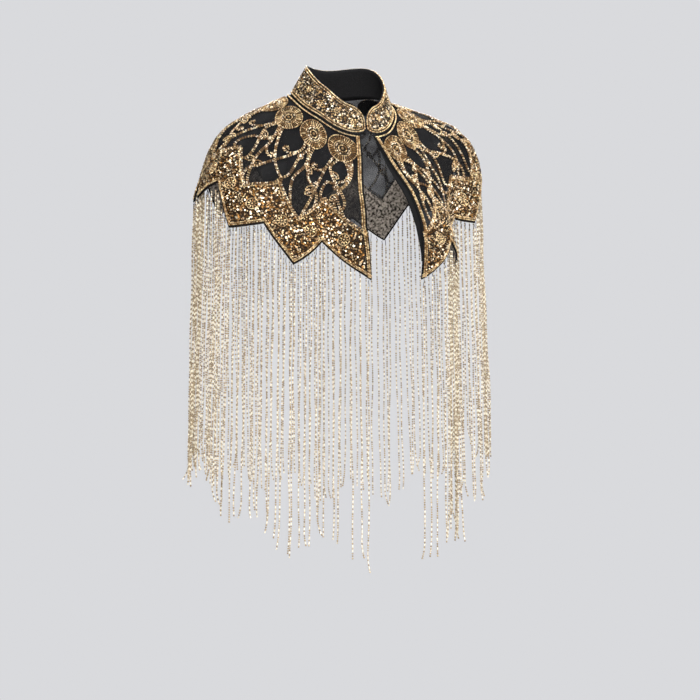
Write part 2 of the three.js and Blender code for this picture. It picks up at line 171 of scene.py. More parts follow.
leftEdge = float(edgeTurn(1, hem["tip"]))
rightEdge = 360 - float(edgeTurn(-1, hem["tip"]))


def hemKnots():
    # the teeth are laid out by length along the cloth, half way between tips and notches
    turns = np.linspace(leftEdge, rightEdge, 361)
    ring = tableAt(bareTable, turns, (hem["tip"] + hem["notch"]) / 2)
    lengths = runLengths(ring)
    ends = hem["firstHalves"]
    even = (lengths[-1] - 2 * sum(ends)) / hem["evenHalves"]
    stops = np.cumsum([0, *ends, *[even] * hem["evenHalves"], *ends[::-1]])
    knotTurns = np.interp(stops, lengths, turns)
    grown = smoothStep((knotTurns - hem["longerFrom"]) / hem["longerOver"])
    grown = grown * smoothStep((hem["longerTo"] - knotTurns) / hem["longerOver"])
    number = np.arange(len(stops))
    teeth = np.where(number % 2, hem["notch"], hem["tip"]).astype(float)
    fromFront = np.minimum(np.minimum(number, number[::-1]), len(hem["deeper"]))
    teeth += np.array(hem["deeper"] + [0])[fromFront]
    return knotTurns, teeth + hem["backLonger"] * grown, stops


knotTurns, knotCuts, knotLengths = hemKnots()
allHalves = len(knotTurns) - 1
panels = dict(
    Left=(0, hem["seamAfter"]),
    Back=(hem["seamAfter"], allHalves - hem["seamAfter"]),
    Right=(allHalves - hem["seamAfter"], allHalves),
)
knotNumbers = np.arange(allHalves + 1)


def hemTurnAt(halves):
    return np.interp(halves, knotNumbers, knotTurns)


def hemCutAt(halves):
    return np.interp(halves, knotNumbers, knotCuts)


def hemLengthAt(halves):
    return np.interp(halves, knotNumbers, knotLengths)


def halvesAlong(length):
    return np.interp(length, knotLengths, knotNumbers)


def grainTurn(hemTurn, cut):
    # the grain follows each front edge and straightens out by the shoulder, a quarter turn round
    shoulder = 90
    left = hemTurn < 180
    fromFront = np.where(left, hemTurn, 360 - hemTurn)
    edge = np.where(left, edgeTurn(1, cut), edgeTurn(-1, cut))
    hemEdge = np.where(left, leftEdge, 360 - rightEdge)
    bent = edge + (fromFront - hemEdge) * (shoulder - edge) / (shoulder - hemEdge)
    turn = np.where(fromFront >= shoulder, fromFront, bent)
    return np.where(left, turn, 360 - turn)


def panelTurn(halves, cut):
    halves, cut = np.broadcast_arrays(np.asarray(halves, float), np.asarray(cut, float))
    return grainTurn(hemTurnAt(halves), cut)


def onPanel(halves, cut, height=0.0):
    # a place given in half teeth along the hem from the left front edge
    return onCloth(panelTurn(halves, cut), cut, height)


flatCut = dict(radius=127.0, sweep=3.6)  # mm, and radians from front edge to front edge


def flatPlace(halves, cut):
    # the yoke laid flat is a ring's sector: radius + cut out from its centre, swept by length
    angle = hemLengthAt(halves) / knotLengths[-1] * flatCut["sweep"]
    r = flatCut["radius"] + cut
    return np.stack([r * np.sin(angle), r * np.cos(angle)], axis=-1)


print("cloth worked out:", round(leftEdge, 1), round(rightEdge, 1), "turns at the front edges")


# Meshes

def newPiece(name, part, materials, slot, *nodes):
    mesh = bpy.data.meshes.new(name)
    mesh.vertices.add(len(part["points"]))
    mesh.vertices.foreach_set("co", (part["points"] * 0.001).astype(np.float32).ravel())
    count = len(part["triangles"])
    mesh.loops.add(3 * count)
    mesh.loops.foreach_set("vertex_index", part["triangles"].astype(np.int32).ravel())
    mesh.polygons.add(count)
    mesh.polygons.foreach_set("loop_start", np.arange(0, 3 * count, 3, dtype=np.int32))
    mesh.polygons.foreach_set("use_smooth", part["smooth"])
    mesh.polygons.foreach_set("material_index", part["finish"].astype(np.int32))
    mesh.update(calc_edges=True)
    shade = mesh.attributes.new("shade", "FLOAT", "POINT")
    shade.data.foreach_set("value", part["shade"].astype(np.float32))
    if "flat" in part:
        flat = mesh.uv_layers.new(name="flatCut")
        places = (part["flat"] * 0.001)[part["triangles"].ravel()]
        flat.data.foreach_set("uv", places.astype(np.float32).ravel())
    for material in materials:
        mesh.materials.append(material)
    piece = bpy.data.objects.new(name, mesh)
    bpy.context.scene.collection.objects.link(piece)
    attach(piece, "root")
    if nodes:
        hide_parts(*nodes)
    print(name, count, "triangles")
    return piece


def joined(parts):
    starts = np.cumsum([0] + [len(part["points"]) for part in parts[:-1]])
    kinds = ("points", "shade", "smooth", "finish")
    whole = {kind: np.concatenate([part[kind] for part in parts]) for kind in kinds}
    whole["triangles"] = np.concatenate([
        part["triangles"] + start for part, start in zip(parts, starts)
    ])
    return whole


def part(points, triangles, shade=0.5, smooth=True, finish=0):
    return dict(
        points=points, triangles=triangles,
        shade=np.broadcast_to(shade, len(points)).astype(float),
        smooth=np.full(len(triangles), smooth), finish=np.full(len(triangles), finish),
    )


def halved(a, b, c, d):
    # each four-cornered face as two triangles: all the first ones, then all the second ones
    return np.concatenate([np.stack([a, b, c], -1).reshape(-1, 3), np.stack([a, c, d], -1).reshape(-1, 3)])


def closedWall(outer, inner, **finish):
    # two grids of places, one over the other, joined along their four edges
    rows, columns = outer.shape[:2]
    index = np.arange(rows * columns).reshape(rows, columns)
    rim = np.concatenate([index[0, :-1], index[:-1, -1], index[-1, :0:-1], index[:0:-1, 0]])
    after = np.roll(rim, -1)
    n = rows * columns
    faces = halved(index[:-1, :-1], index[:-1, 1:], index[1:, 1:], index[1:, :-1])
    edge = halved(after, rim, rim + n, after + n)
    points = np.concatenate([outer.reshape(-1, 3), inner.reshape(-1, 3)])
    return part(points, np.concatenate([faces, faces[:, ::-1] + n, edge]), **finish)


def beadShape(sides, shoulder=0.45):
    # a barrel along x: two rings of points between two poles, all one unit from the middle
    angle = 2 * np.pi * np.arange(sides) / sides
    turned = angle + np.pi / sides
    first = np.stack([np.full(sides, -shoulder), np.cos(angle), np.sin(angle)], -1)
    second = np.stack([np.full(sides, shoulder), np.cos(turned), np.sin(turned)], -1)
    points = np.concatenate([first, second, [[-1, 0, 0], [1, 0, 0]]])
    k = np.arange(sides)
    n = (k + 1) % sides
    low, high = 2 * sides, 2 * sides + 1
    triangles = np.concatenate([
        np.stack([k, n, k + sides], -1), np.stack([n, n + sides, k + sides], -1),
        np.stack([np.full(sides, low), n, k], -1), np.stack([np.full(sides, high), k + sides, n + sides], -1),
    ])
    return points, triangles


def sequinShape(sides):
    # a shallow cup: its rim stands above the middle, and its back is a flat cone
    angle = 2 * np.pi * np.arange(sides) / sides
    rim = np.stack([np.cos(angle), np.sin(angle), np.ones(sides)], -1)
    points = np.concatenate([rim, [[0, 0, 0.1], [0, 0, -0.6]]])
    k = np.arange(sides)
    n = (k + 1) % sides
    triangles = np.concatenate([
        np.stack([k, n, np.full(sides, sides)], -1), np.stack([n, k, np.full(sides, sides + 1)], -1),
    ])
    return points, triangles


seedBead = beadShape(5)
roundBead = beadShape(6, 0.5)
bugleBead = beadShape(5, 0.86)
sequin = sequinShape(6)


def scattered(shape, centres, along, up, size, shade, smooth=True, finish=0):
    # every copy: centre + x length along + y width side + z height up
    local, triangles = shape
    along = np.broadcast_to(along, centres.shape)
    up = np.broadcast_to(up, centres.shape)
    side = unit(np.cross(up, along))
    size = np.broadcast_to(np.asarray(size, float), centres.shape)
    points = centres[:, None] + sum(
        local[None, :, axis, None] * size[:, None, axis, None] * way[:, None]
        for axis, way in enumerate((along, side, up))
    )
    count, corners = len(centres), len(local)
    index = triangles[None] + (np.arange(count) * corners)[:, None, None]
    shades = np.repeat(np.broadcast_to(shade, count), corners)
    return part(points.reshape(-1, 3), index.reshape(-1, 3), shades, smooth, finish)


strung = dict(pitch=1.04, uneven=(0.93, 1.05))  # a row's pitch in bead lengths, its beads' uneven sizes


def lineOfSpots(path, normals, beadLength):
    # a spot for each bead along a path
    lengths = runLengths(path)
    count = max(int(lengths[-1] / (beadLength * strung["pitch"])), 1)
    at = (np.arange(count) + 0.5) * lengths[-1] / count
    centres, along, up = (
        np.stack([np.interp(at, lengths, values[:, axis]) for axis in range(3)], -1)
        for values in (path, unit(np.gradient(path, axis=0)), normals)
    )
    return centres, unit(along), unit(up)


def beadRow(path, normals, bead, shade, lift=0.0, finish=0):
    # bead is its length, width and height; the row stands on the path, lifted by half a bead
    centres, along, up = lineOfSpots(path, normals, bead[0])
    centres = centres + up * (lift + bead[2] / 2)
    size = np.array(bead) / 2 * rng.uniform(*strung["uneven"], (len(centres), 1))
    return scattered(
        seedBead, centres, along, up, size, rng.uniform(*shade, len(centres)), finish=finish,
    )


def ribbon(path, normals, profile, **finish):
    # a closed profile of (aside, up) corners carried along a path, its two ends filled
    ahead = unit(np.gradient(path, axis=0))
    side = unit(np.cross(normals, ahead))
    aside, rise = np.array(profile, float).T[:, None, :, None]
    points = path[:, None] + aside * side[:, None] + rise * normals[:, None]
    count, sides = points.shape[:2]
    index = np.arange(count * sides).reshape(count, sides)
    after = np.roll(index, -1, axis=1)
    fan = np.arange(1, sides - 1)
    start = np.stack([np.zeros_like(fan), fan + 1, fan], -1)
    end = index[-1, 0] + np.stack([np.zeros_like(fan), fan, fan + 1], -1)
    faces = np.concatenate([halved(index[:-1], after[:-1], after[1:], index[1:]), start, end])
    return part(points.reshape(-1, 3), faces, **finish)


# Finishes

def newGroup(name, inputs, outputs):
    group = bpy.data.node_groups.new(name, "ShaderNodeTree")
    for title, kind, value in inputs:
        socket = group.interface.new_socket(title, in_out="INPUT", socket_type=kind)
        if value is not None:
            socket.default_value = value
    for title, kind in outputs:
        group.interface.new_socket(title, in_out="OUTPUT", socket_type=kind)
    return group, group.nodes.new("NodeGroupInput"), group.nodes.new("NodeGroupOutput")


def feed(tree, sockets, values):
    # each value is another node's output, or a constant
    for socket, value in zip(sockets, values):
        if isinstance(value, bpy.types.NodeSocket):
            tree.links.new(value, socket)
        else:
            socket.default_value = value


def mathNode(tree, operation, *values, clamp=False):
    node = tree.nodes.new("ShaderNodeMath")
    node.operation = operation
    node.use_clamp = clamp
    feed(tree, node.inputs, values)
    return node.outputs[0]


def mixColours(tree, factor, first, second):
    node = tree.nodes.new("ShaderNodeMix")
    node.data_type = "RGBA"
    feed(tree, (node.inputs[0], node.inputs[6], node.inputs[7]), (factor, first, second))
    return node.outputs[2]


def beadColoursGroup():
    # from each bead's shade, partly its own tone and partly a painted glint where light and a painted dark
    # reflection where dark: dark, middle or light colour, and rougher where it is dark
    group, start, end = newGroup("beadColours", [
        ("Shade", "NodeSocketFloat", 0.5), ("Dark", "NodeSocketColor", None),
        ("Middle", "NodeSocketColor", None), ("Light", "NodeSocketColor", None),
        ("Smooth", "NodeSocketFloat", 0.15), ("Rough", "NodeSocketFloat", 0.35),
    ], [("Color", "NodeSocketColor"), ("Roughness", "NodeSocketFloat")])
    ins = start.outputs
    lower = mathNode(group, "MULTIPLY", ins["Shade"], 2.0, clamp=True)
    upper = mathNode(group, "MULTIPLY_ADD", ins["Shade"], 2.0, -1.0, clamp=True)
    low = mixColours(group, lower, ins["Dark"], ins["Middle"])
    colour = mixColours(group, upper, low, ins["Light"])
    drop = mathNode(group, "SUBTRACT", ins["Smooth"], ins["Rough"])
    rough = mathNode(group, "MULTIPLY_ADD", ins["Shade"], drop, ins["Rough"])
    group.links.new(colour, end.inputs["Color"])
    group.links.new(rough, end.inputs["Roughness"])
    return group


def weaveGroup():
    # three sets of parallel threads, 60 degrees apart, each |fraction of distance / pitch - 0.5|
    group, start, end = newGroup("netWeave", [
        ("Vector", "NodeSocketVector", None), ("Pitch", "NodeSocketFloat", 0.0012),
        ("Thread", "NodeSocketFloat", 0.18),
    ], [("Threads", "NodeSocketFloat")])
    apart = group.nodes.new("ShaderNodeSeparateXYZ")
    group.links.new(start.outputs["Vector"], apart.inputs[0])
    lines = []
    for degrees in (0, 60, 120):
        c, s = np.cos(np.radians(degrees)), np.sin(np.radians(degrees))
        x = mathNode(group, "MULTIPLY", apart.outputs[0], float(c))
        across = mathNode(group, "MULTIPLY_ADD", apart.outputs[1], float(s), x)
        turns = mathNode(group, "DIVIDE", across, start.outputs["Pitch"])
        fromMiddle = mathNode(group, "SUBTRACT", mathNode(group, "FRACT", turns), 0.5)
        middle = mathNode(group, "ABSOLUTE", fromMiddle)
        lines.append(mathNode(group, "LESS_THAN", middle, start.outputs["Thread"]))
    either = mathNode(group, "MAXIMUM", mathNode(group, "MAXIMUM", lines[0], lines[1]), lines[2])
    group.links.new(either, end.inputs["Threads"])
    return group


beadColours = beadColoursGroup()
netWeave = weaveGroup()


def newMaterial(name, **values):
    material = bpy.data.materials.new(name)
    material.use_nodes = True
    tree = material.node_tree
    shader = tree.nodes["Principled BSDF"]
    for title, value in values.items():
        shader.inputs[title.replace("_", " ")].default_value = value
    return material, tree, shader


def bumpFrom(tree, shader, height, strength, distance):
    bump = tree.nodes.new("ShaderNodeBump")
    bump.inputs["Strength"].default_value = strength
    bump.inputs["Distance"].default_value = distance
    tree.links.new(height, bump.inputs["Height"])
    tree.links.new(bump.outputs[0], shader.inputs["Normal"])


def noiseOf(tree, scale, detail=2.0):
    place = tree.nodes.new("ShaderNodeTexCoord")
    noise = tree.nodes.new("ShaderNodeTexNoise")
    noise.inputs["Scale"].default_value = scale
    noise.inputs["Detail"].default_value = detail
    tree.links.new(place.outputs["Object"], noise.inputs["Vector"])
    return noise.outputs[0]


def beadMaterial(name, dark, middle, light, rough, bumps, **values):
    # its grain is 1/900 m across and 0.4 mm deep
    material, tree, shader = newMaterial(name, **values)
    shade = tree.nodes.new("ShaderNodeAttribute")
    shade.attribute_name = "shade"
    colours = tree.nodes.new("ShaderNodeGroup")
    colours.node_tree = beadColours
    for title, value in (("Dark", dark), ("Middle", middle), ("Light", light)):
        colours.inputs[title].default_value = (*value, 1)
    colours.inputs["Smooth"].default_value = 0.28
    colours.inputs["Rough"].default_value = rough
    tree.links.new(shade.outputs["Fac"], colours.inputs["Shade"])
    tree.links.new(colours.outputs["Color"], shader.inputs["Base Color"])
    tree.links.new(colours.outputs["Roughness"], shader.inputs["Roughness"])
    bumpFrom(tree, shader, noiseOf(tree, 900), bumps, 0.0004)
    return material


def netMaterial(name, threads, holes, cloudiness):
    # threads and holes: how solid each is; cloudiness lets the layers under it show unevenly
    material, tree, shader = newMaterial(
        name, Base_Color=(0.004, 0.004, 0.0045, 1), Roughness=0.8, Specular_IOR_Level=0.12,
    )
    uv = tree.nodes.new("ShaderNodeUVMap")
    uv.uv_map = "flatCut"
    weave = tree.nodes.new("ShaderNodeGroup")
    weave.node_tree = netWeave
    tree.links.new(uv.outputs[0], weave.inputs["Vector"])
    cloudy = mathNode(tree, "MULTIPLY_ADD", noiseOf(tree, 26), cloudiness, -cloudiness / 2)
    solid = mathNode(tree, "MULTIPLY_ADD", weave.outputs["Threads"], threads - holes, holes)
    tree.links.new(mathNode(tree, "ADD", solid, cloudy, clamp=True), shader.inputs["Alpha"])
    return material


def clothMaterial(name, colour, lighter, rough, grain, depth):
    # plain cloth: fine grain in its colour and in its surface
    material, tree, shader = newMaterial(name, Roughness=rough, Specular_IOR_Level=0.12)
    noise = noiseOf(tree, grain, 4.0)
    mottled = mathNode(tree, "MULTIPLY_ADD", noise, 4.0, -1.5, clamp=True)
    tree.links.new(mixColours(tree, mottled, (*colour, 1), (*lighter, 1)), shader.inputs["Base Color"])
    bumpFrom(tree, shader, noise, 0.35, depth)
    return material


yokeNet = netMaterial("yokeNet", 0.8, 0.4, 0.7)
borderGround, borderBack, blackBinding, collarLining, blackThread = (
    clothMaterial(*row) for row in (  # name, colour, lighter colour, roughness, grain per metre, its depth in m
        ("borderGround", (0.004, 0.003, 0.002), (0.03, 0.018, 0.009), 0.8, 900, 0.0004),
        ("borderBack", (0.02, 0.017, 0.014), (0.5, 0.44, 0.38), 0.6, 300, 0.0008),
        ("blackBinding", (0.001, 0.001, 0.0012), (0.005, 0.005, 0.0055), 0.8, 1400, 0.0003),
        ("collarLining", (0.005, 0.005, 0.006), (0.014, 0.014, 0.015), 0.85, 1100, 0.0003),
        ("blackThread", (0.006, 0.005, 0.005), (0.02, 0.018, 0.017), 0.7, 2500, 0.0001),
    )
)
glossy = dict(Coat_Weight=0.5, Coat_Roughness=0.06)
goldSequins, goldBeads, silverBeads, strandGlass = (
    beadMaterial(*row, **values) for *row, values in (
        # name, dark, middle and light colour, roughness of the dark ones, strength of the grain; through each
        # bead's shade the dark and light colours also serve as painted shade, painted dark reflections and
        # painted glints
        ("goldSequins", (0.012, 0.005, 0.002), (0.33, 0.16, 0.045), (1.0, 0.88, 0.66), 0.4, 0.3,
         dict(Metallic=0.92)),
        ("goldBeads", (0.01, 0.004, 0.0015), (0.26, 0.13, 0.037), (1.0, 0.8, 0.47), 0.36, 0.15,
         dict(Metallic=0.8, Coat_Weight=0.4, Coat_Roughness=0.08)),
        ("silverBeads", (0.016, 0.008, 0.003), (0.36, 0.23, 0.1), (1.0, 0.9, 0.72), 0.34, 0.1,
         dict(Metallic=0.85, **glossy)),
        ("strandGlass", (0.15, 0.095, 0.045), (0.4, 0.3, 0.17), (0.95, 0.88, 0.72), 0.34, 0.1,
         dict(Metallic=0.35, **glossy)),
    )
)
beadwork = [goldBeads, goldSequins, silverBeads]  # finish 0, 1 and 2 of a beaded piece
print("finishes made")


# The camera and the light

camera = dict(  # degrees, m and mm; the frame's origin is seen at originAt, scale m to each pixel there
    azimuth=-28.3, elevation=2.33, distance=3.3, scale=0.00142, originAt=(342.4, 103.4), middle=350,
    lens=119.5, sensor=36,
)


def makeCamera():
    a, e = np.radians(camera["azimuth"]), np.radians(camera["elevation"])
    back = Vector((np.sin(a) * np.cos(e), -np.cos(a) * np.cos(e), np.sin(e)))
    right = Vector((np.cos(a), np.sin(a), 0))
    up = back.cross(right)
    x, y = camera["originAt"]
    middle, scale = camera["middle"], camera["scale"]
    eye = right * ((middle - x) * scale) + up * ((y - middle) * scale) + back * camera["distance"]
    data = bpy.data.cameras.new("viewCamera")
    data.lens, data.sensor_width = camera["lens"], camera["sensor"]
    data.clip_start, data.clip_end = 0.05, 60
    made = bpy.data.objects.new("viewCamera", data)
    made.matrix_world = Matrix.Translation(eye) @ Matrix((right, up, back)).transposed().to_4x4()
    bpy.context.scene.collection.objects.link(made)
    bpy.context.scene.camera = made


lamps = dict(  # place, what it points at, width, watts, colour
    key=((-1.5, -2.4, 1.5), (0, 0, -0.2), 0.9, 150, (1, 0.98, 0.95)),
    fill=((2.2, -1.9, 0.5), (0, 0, -0.3), 1.4, 70, (0.96, 0.98, 1)),
    top=((0.2, 0.5, 2.1), (0, 0, -0.1), 1.0, 38, (1, 1, 1)),
    rim=((1.2, 2.2, 0.9), (0, 0, -0.3), 1.1, 60, (1, 1, 1)),
    spark=((-0.9, -2.9, 0.35), (0, 0, -0.2), 0.16, 45, (1, 0.97, 0.92)),
)


def makeLamps():
    for name, (place, target, width, watts, colour) in lamps.items():
        data = bpy.data.lights.new(name + "Lamp", "AREA")
        data.size, data.energy, data.color = width, watts, colour
        lamp = bpy.data.objects.new(name + "Lamp", data)
        aim = Vector(target) - Vector(place)
        lamp.matrix_world = Matrix.Translation(place) @ aim.to_track_quat("-Z", "Y").to_matrix().to_4x4()
        bpy.context.scene.collection.objects.link(lamp)


room = dict(
    seen=(0.695, 0.7, 0.722, 1), level=(0.3, 0.3, 0.31, 1), overhead=(0.05, 0.05, 0.055, 1),
    floor=((0.05, 0.05, 0.052, 1), (0.07, 0.07, 0.073, 1)), glow=(0.97, 0.98, 1, 1), glowing=0.56,
    floorAt=-1450.0, floorRadius=2800, floorSides=96, floorRough=0.9, floorGrain=(3, 3.0),
    overheadFrom=(3.4, -0.55),  # the share of the overhead light, by height: times this, plus this
)


def makeRoom():
    # seen, the room is pale grey all round; its light on the cape is dimmer, and dimmer still overhead
    world = bpy.data.worlds.new("paleRoom")
    bpy.context.scene.world = world
    world.use_nodes = True
    tree = world.node_tree
    place = tree.nodes.new("ShaderNodeTexCoord")
    apart = tree.nodes.new("ShaderNodeSeparateXYZ")
    tree.links.new(place.outputs["Generated"], apart.inputs[0])
    high = mathNode(tree, "MULTIPLY_ADD", apart.outputs[2], *room["overheadFrom"], clamp=True)
    light = mixColours(tree, high, room["level"], room["overhead"])
    seen = tree.nodes.new("ShaderNodeLightPath").outputs["Is Camera Ray"]
    tone = mixColours(tree, seen, light, room["seen"])
    tree.links.new(tone, tree.nodes["Background"].inputs["Color"])
    tree.nodes["Background"].inputs["Strength"].default_value = 1.0
    bpy.context.scene.view_settings.view_transform = "Standard"

    sides, radius, z = room["floorSides"], room["floorRadius"], room["floorAt"]
    angle = 2 * np.pi * np.arange(sides) / sides
    rim = np.stack([radius * np.cos(angle), radius * np.sin(angle), np.full(sides, z)], -1)
    k = np.arange(sides)
    fan = np.stack([np.full(sides, sides), k, (k + 1) % sides], -1)
    mesh = bpy.data.meshes.new("paleFloor")
    mesh.from_pydata((np.concatenate([rim, [[0, 0, z]]]) * 0.001).tolist(), [], fan.tolist())
    material, tree, shader = newMaterial(
        "paleFloor", Roughness=room["floorRough"], Emission_Strength=room["glowing"],
    )
    tone = mixColours(tree, noiseOf(tree, *room["floorGrain"]), *room["floor"])
    tree.links.new(tone, shader.inputs["Base Color"])
    shader.inputs["Emission Color"].default_value = room["glow"]
    mesh.materials.append(material)
    floor = bpy.data.objects.new("paleFloor", mesh)
    bpy.context.scene.collection.objects.link(floor)


makeCamera()
makeLamps()
makeRoom()
print("camera, lamps and room made")


# The yoke: three panels of sheer net

yoke = dict(inner=0.25, outer=1.15, columnsPerHalf=12, rows=(30, 12))  # rows above and on the border


def clothWall(turn, cut, low, high, **finish):
    # a wall that follows the cloth, from one height over it to another
    return closedWall(onCloth(turn, cut, high)[0], onCloth(turn, cut, low)[0], **finish)


def makeYoke(side):
    start, end = panels[side]
    halves = np.linspace(start, end, (end - start) * yoke["columnsPerHalf"] + 1)[:, None]
    above, below = yoke["rows"]
    borderCut = hemCutAt(halves) - hem["border"]
    cut = np.hstack([
        borderCut * np.linspace(0, 1, above + 1)[None, :-1],
        borderCut + hem["border"] * np.linspace(0, 1, below + 1)[None],
    ])
    wall = clothWall(panelTurn(halves, cut), cut, yoke["inner"], yoke["outer"])
    sewn = np.zeros((len(halves) - 1, above + below), int)
    sewn[:, above:] = 1  # inside, the border's stitches and knots cover the net
    wall["finish"][2 * sewn.size:4 * sewn.size] = np.tile(sewn.ravel(), 2)
    flat = flatPlace(np.broadcast_to(halves, cut.shape), cut)
    wall["flat"] = np.concatenate([flat.reshape(-1, 2)] * 2)
    piece = newPiece("yokeCloth" + side, wall, [yokeNet, borderBack], "mesh", "yoke_" + side.lower())
    return piece, flat


yokePieces = {side: makeYoke(side) for side in panels}


# The border: a dense field of sequins and beads, with rows of beads along its edges

border = dict(  # sequinShadesAndGlints and beadShadesAndGlints are a beta spread's two powers, so most shades are very dark and very light, partly the beads' own tones and partly painted glints and painted dark reflections; other shades lowest and highest
    base=1.5, ground=1.95, groundRows=14, atFront=8.2, atSeam=0.8, cell=2.75, shaken=0.46,
    fieldFrom=6.0, fieldTo=56.5, sequins=0.55, sequinRadius=(1.15, 1.85), sequinTips=0.3, sequinDepth=0.22,
    sequinHeights=(0.5, 1.5), beadLengths=(0.85, 1.5), beadWidth=0.95, beadHeight=0.9,
    sequinShadesAndGlints=(0.62, 0.7), beadShadesAndGlints=(0.6, 0.75), rowShades=(0.4, 1.0), topShades=(0.4, 0.95),
    rows=(2.3, 4.4), rowBead=(1.9, 1.9, 1.8), topRow=1.6, topBead=(2.0, 2.0, 1.9),
    motifUp=31, motifRadius=9.2, motifSize=1.1,
)


def parallelTo(start, end, fromHem):
    # a path parallel to the hem, that far from it square to its slope, one side of a tooth at a time
    t = np.linspace(0, 1, 31)
    halves, cut = [], []
    for k in range(start, end):
        drop = knotCuts[k + 1] - knotCuts[k]
        slope = drop / (knotLengths[k + 1] - knotLengths[k])
        halves.append(k + t)
        cut.append(knotCuts[k] + drop * t - fromHem * np.sqrt(1 + slope**2))
    return np.concatenate(halves), np.concatenate(cut)


def shakenGrid(columns, rows, shaken):
    s, d = (g.ravel() for g in np.meshgrid(columns, rows, indexing="ij"))
    s = s + rng.uniform(-1, 1, s.size) * shaken
    return s, d + rng.uniform(-1, 1, d.size) * shaken


def tippedAtRandom(normals, amount):
    # each bead's way up, tipped from the cloth's, and a random way round it
    tip = unit(normals + rng.normal(0, amount, normals.shape))
    return tip, unit(np.cross(tip, rng.normal(0, 1, normals.shape)))


def sizesOf(long, wide, tall):
    return np.stack([long, wide + 0 * long, tall + 0 * long], -1)


def makeBorder(side):
    start, end = panels[side]
    fromHere = knotLengths[start] + border["atFront" if side == "Left" else "atSeam"]
    toHere = knotLengths[end] - border["atFront" if side == "Right" else "atSeam"]

    # the ground that the sequins are sewn on, black outside and pale inside
    rows = border["groundRows"]
    halves = halvesAlong(np.linspace(fromHere, toHere, 8 * yoke["columnsPerHalf"] + 1))[:, None]
    cut = hemCutAt(halves) - hem["border"] * (1 - np.linspace(0, 1, rows)[None])
    ground = clothWall(panelTurn(halves, cut), cut, border["base"], border["ground"], shade=0.2, finish=3)
    outside = (halves.size - 1) * (rows - 1) * 2
    ground["finish"][outside:2 * outside] = 4
    parts = [ground]

    # one small flower in every tooth and over every notch
    flowerHalves = np.arange(start, end) + 0.5
    flowerCuts = hemCutAt(flowerHalves) - border["motifUp"]

    # sequins and small beads on a shaken grid, turned and tipped at random; their shades are partly their own
    # tones and partly painted glints and painted dark reflections
    s, d = shakenGrid(
        np.arange(fromHere + 1, toHere - 1, border["cell"]),
        np.arange(border["fieldFrom"], border["fieldTo"], border["cell"]), border["cell"] * border["shaken"],
    )
    halves = halvesAlong(s)
    cut = hemCutAt(halves) - d
    away = np.hypot(s[:, None] - hemLengthAt(flowerHalves), cut[:, None] - flowerCuts).min(axis=1)
    kept = away > border["motifRadius"]
    spots, normals = onPanel(halves[kept], cut[kept])
    count = len(spots)
    q = rng.random(count) < border["sequins"]
    b = ~q
    tip, around = tippedAtRandom(normals, border["sequinTips"])
    radius = rng.uniform(*border["sequinRadius"], count)
    high = border["ground"] + rng.uniform(*border["sequinHeights"], count)
    parts.append(scattered(
        sequin, spots[q] + normals[q] * high[q, None], around[q], tip[q],
        sizesOf(radius[q], radius[q], border["sequinDepth"] * radius[q]),
        rng.beta(*border["sequinShadesAndGlints"], q.sum()), smooth=False, finish=1,
    ))
    length = rng.uniform(*border["beadLengths"], b.sum())
    parts.append(scattered(
        seedBead, spots[b] + normals[b] * (border["ground"] + border["beadHeight"]), around[b], normals[b],
        sizesOf(length, border["beadWidth"], border["beadWidth"]), rng.beta(*border["beadShadesAndGlints"], b.sum()),
    ))

    # rows of beads along the hem and along the border's top edge
    for away in border["rows"]:
        path, normals = onPanel(*parallelTo(start, end, away))
        parts.append(beadRow(path, normals, border["rowBead"], border["rowShades"], lift=border["ground"]))
    halves, cut = parallelTo(start, end, 0)
    path, normals = onPanel(halves, cut - hem["border"] + border["topRow"])
    parts.append(beadRow(path, normals, border["topBead"], border["topShades"], lift=border["ground"]))

    frames = onPanelFrames(flowerHalves, flowerCuts)
    parts += flowers(*frames, border["ground"], border["motifSize"], ringed=True)
    return newPiece(
        "borderSequins" + side, joined(parts), [*beadwork, borderGround, borderBack], "sequins",
        "border_" + side.lower(),
    )


def onPanelFrames(halves, cut):
    # the place, the way out, and the way round the cape at each spot
    spots, normals = onPanel(halves, cut)
    ahead, _ = onPanel(halves + 0.01, cut)
    return spots, normals, unit(ahead - spots)


flower = dict(
    petals=9, reach=4.3, petal=(1.75, 0.95, 0.9), petalUp=0.9, ring=26, ringReach=7.4,
    ringBead=(0.98, 0.85, 0.9), middle=(1.35, 1.35, 1.3), middleUp=1.2,
)


def flowers(spots, normals, across, lift, size, ringed=False):
    # a gold bead in the middle, a bare dark ring round it, then petals that stand like spokes, and
    # round the larger ones a ring of small beads
    side = np.cross(normals, across)

    def wheel(count, reach):
        angle = (2 * np.pi * np.arange(count) / count)[None, :, None]
        spoke = np.cos(angle) * across[:, None] + np.sin(angle) * side[:, None]
        along = np.cos(angle) * side[:, None] - np.sin(angle) * across[:, None]
        up = np.broadcast_to(normals[:, None], spoke.shape)
        places = spots[:, None] + spoke * reach * size + up * (lift + flower["petalUp"])
        return (grid.reshape(-1, 3) for grid in (places, spoke, along, up))

    made = []
    if ringed:
        places, spoke, along, up = wheel(flower["ring"], flower["ringReach"])
        made.append(scattered(
            seedBead, places, along, up, flower["ringBead"], rng.uniform(0.5, 1, len(places)),
        ))
    places, spoke, along, up = wheel(flower["petals"], flower["reach"])
    long, wide, tall = flower["petal"]
    middles = spots + normals * (lift + flower["middleUp"])
    return made + [
        scattered(bugleBead, places, spoke, up, (long * size, wide, tall), rng.uniform(0.45, 1, len(places))),
        scattered(roundBead, middles, across, normals, flower["middle"], 0.75),
    ]


borderPieces = {side: makeBorder(side) for side in panels}


# The binding: a narrow black edge all round the yoke's hem and up its fronts

binding = dict(width=1.3, thick=1.8)


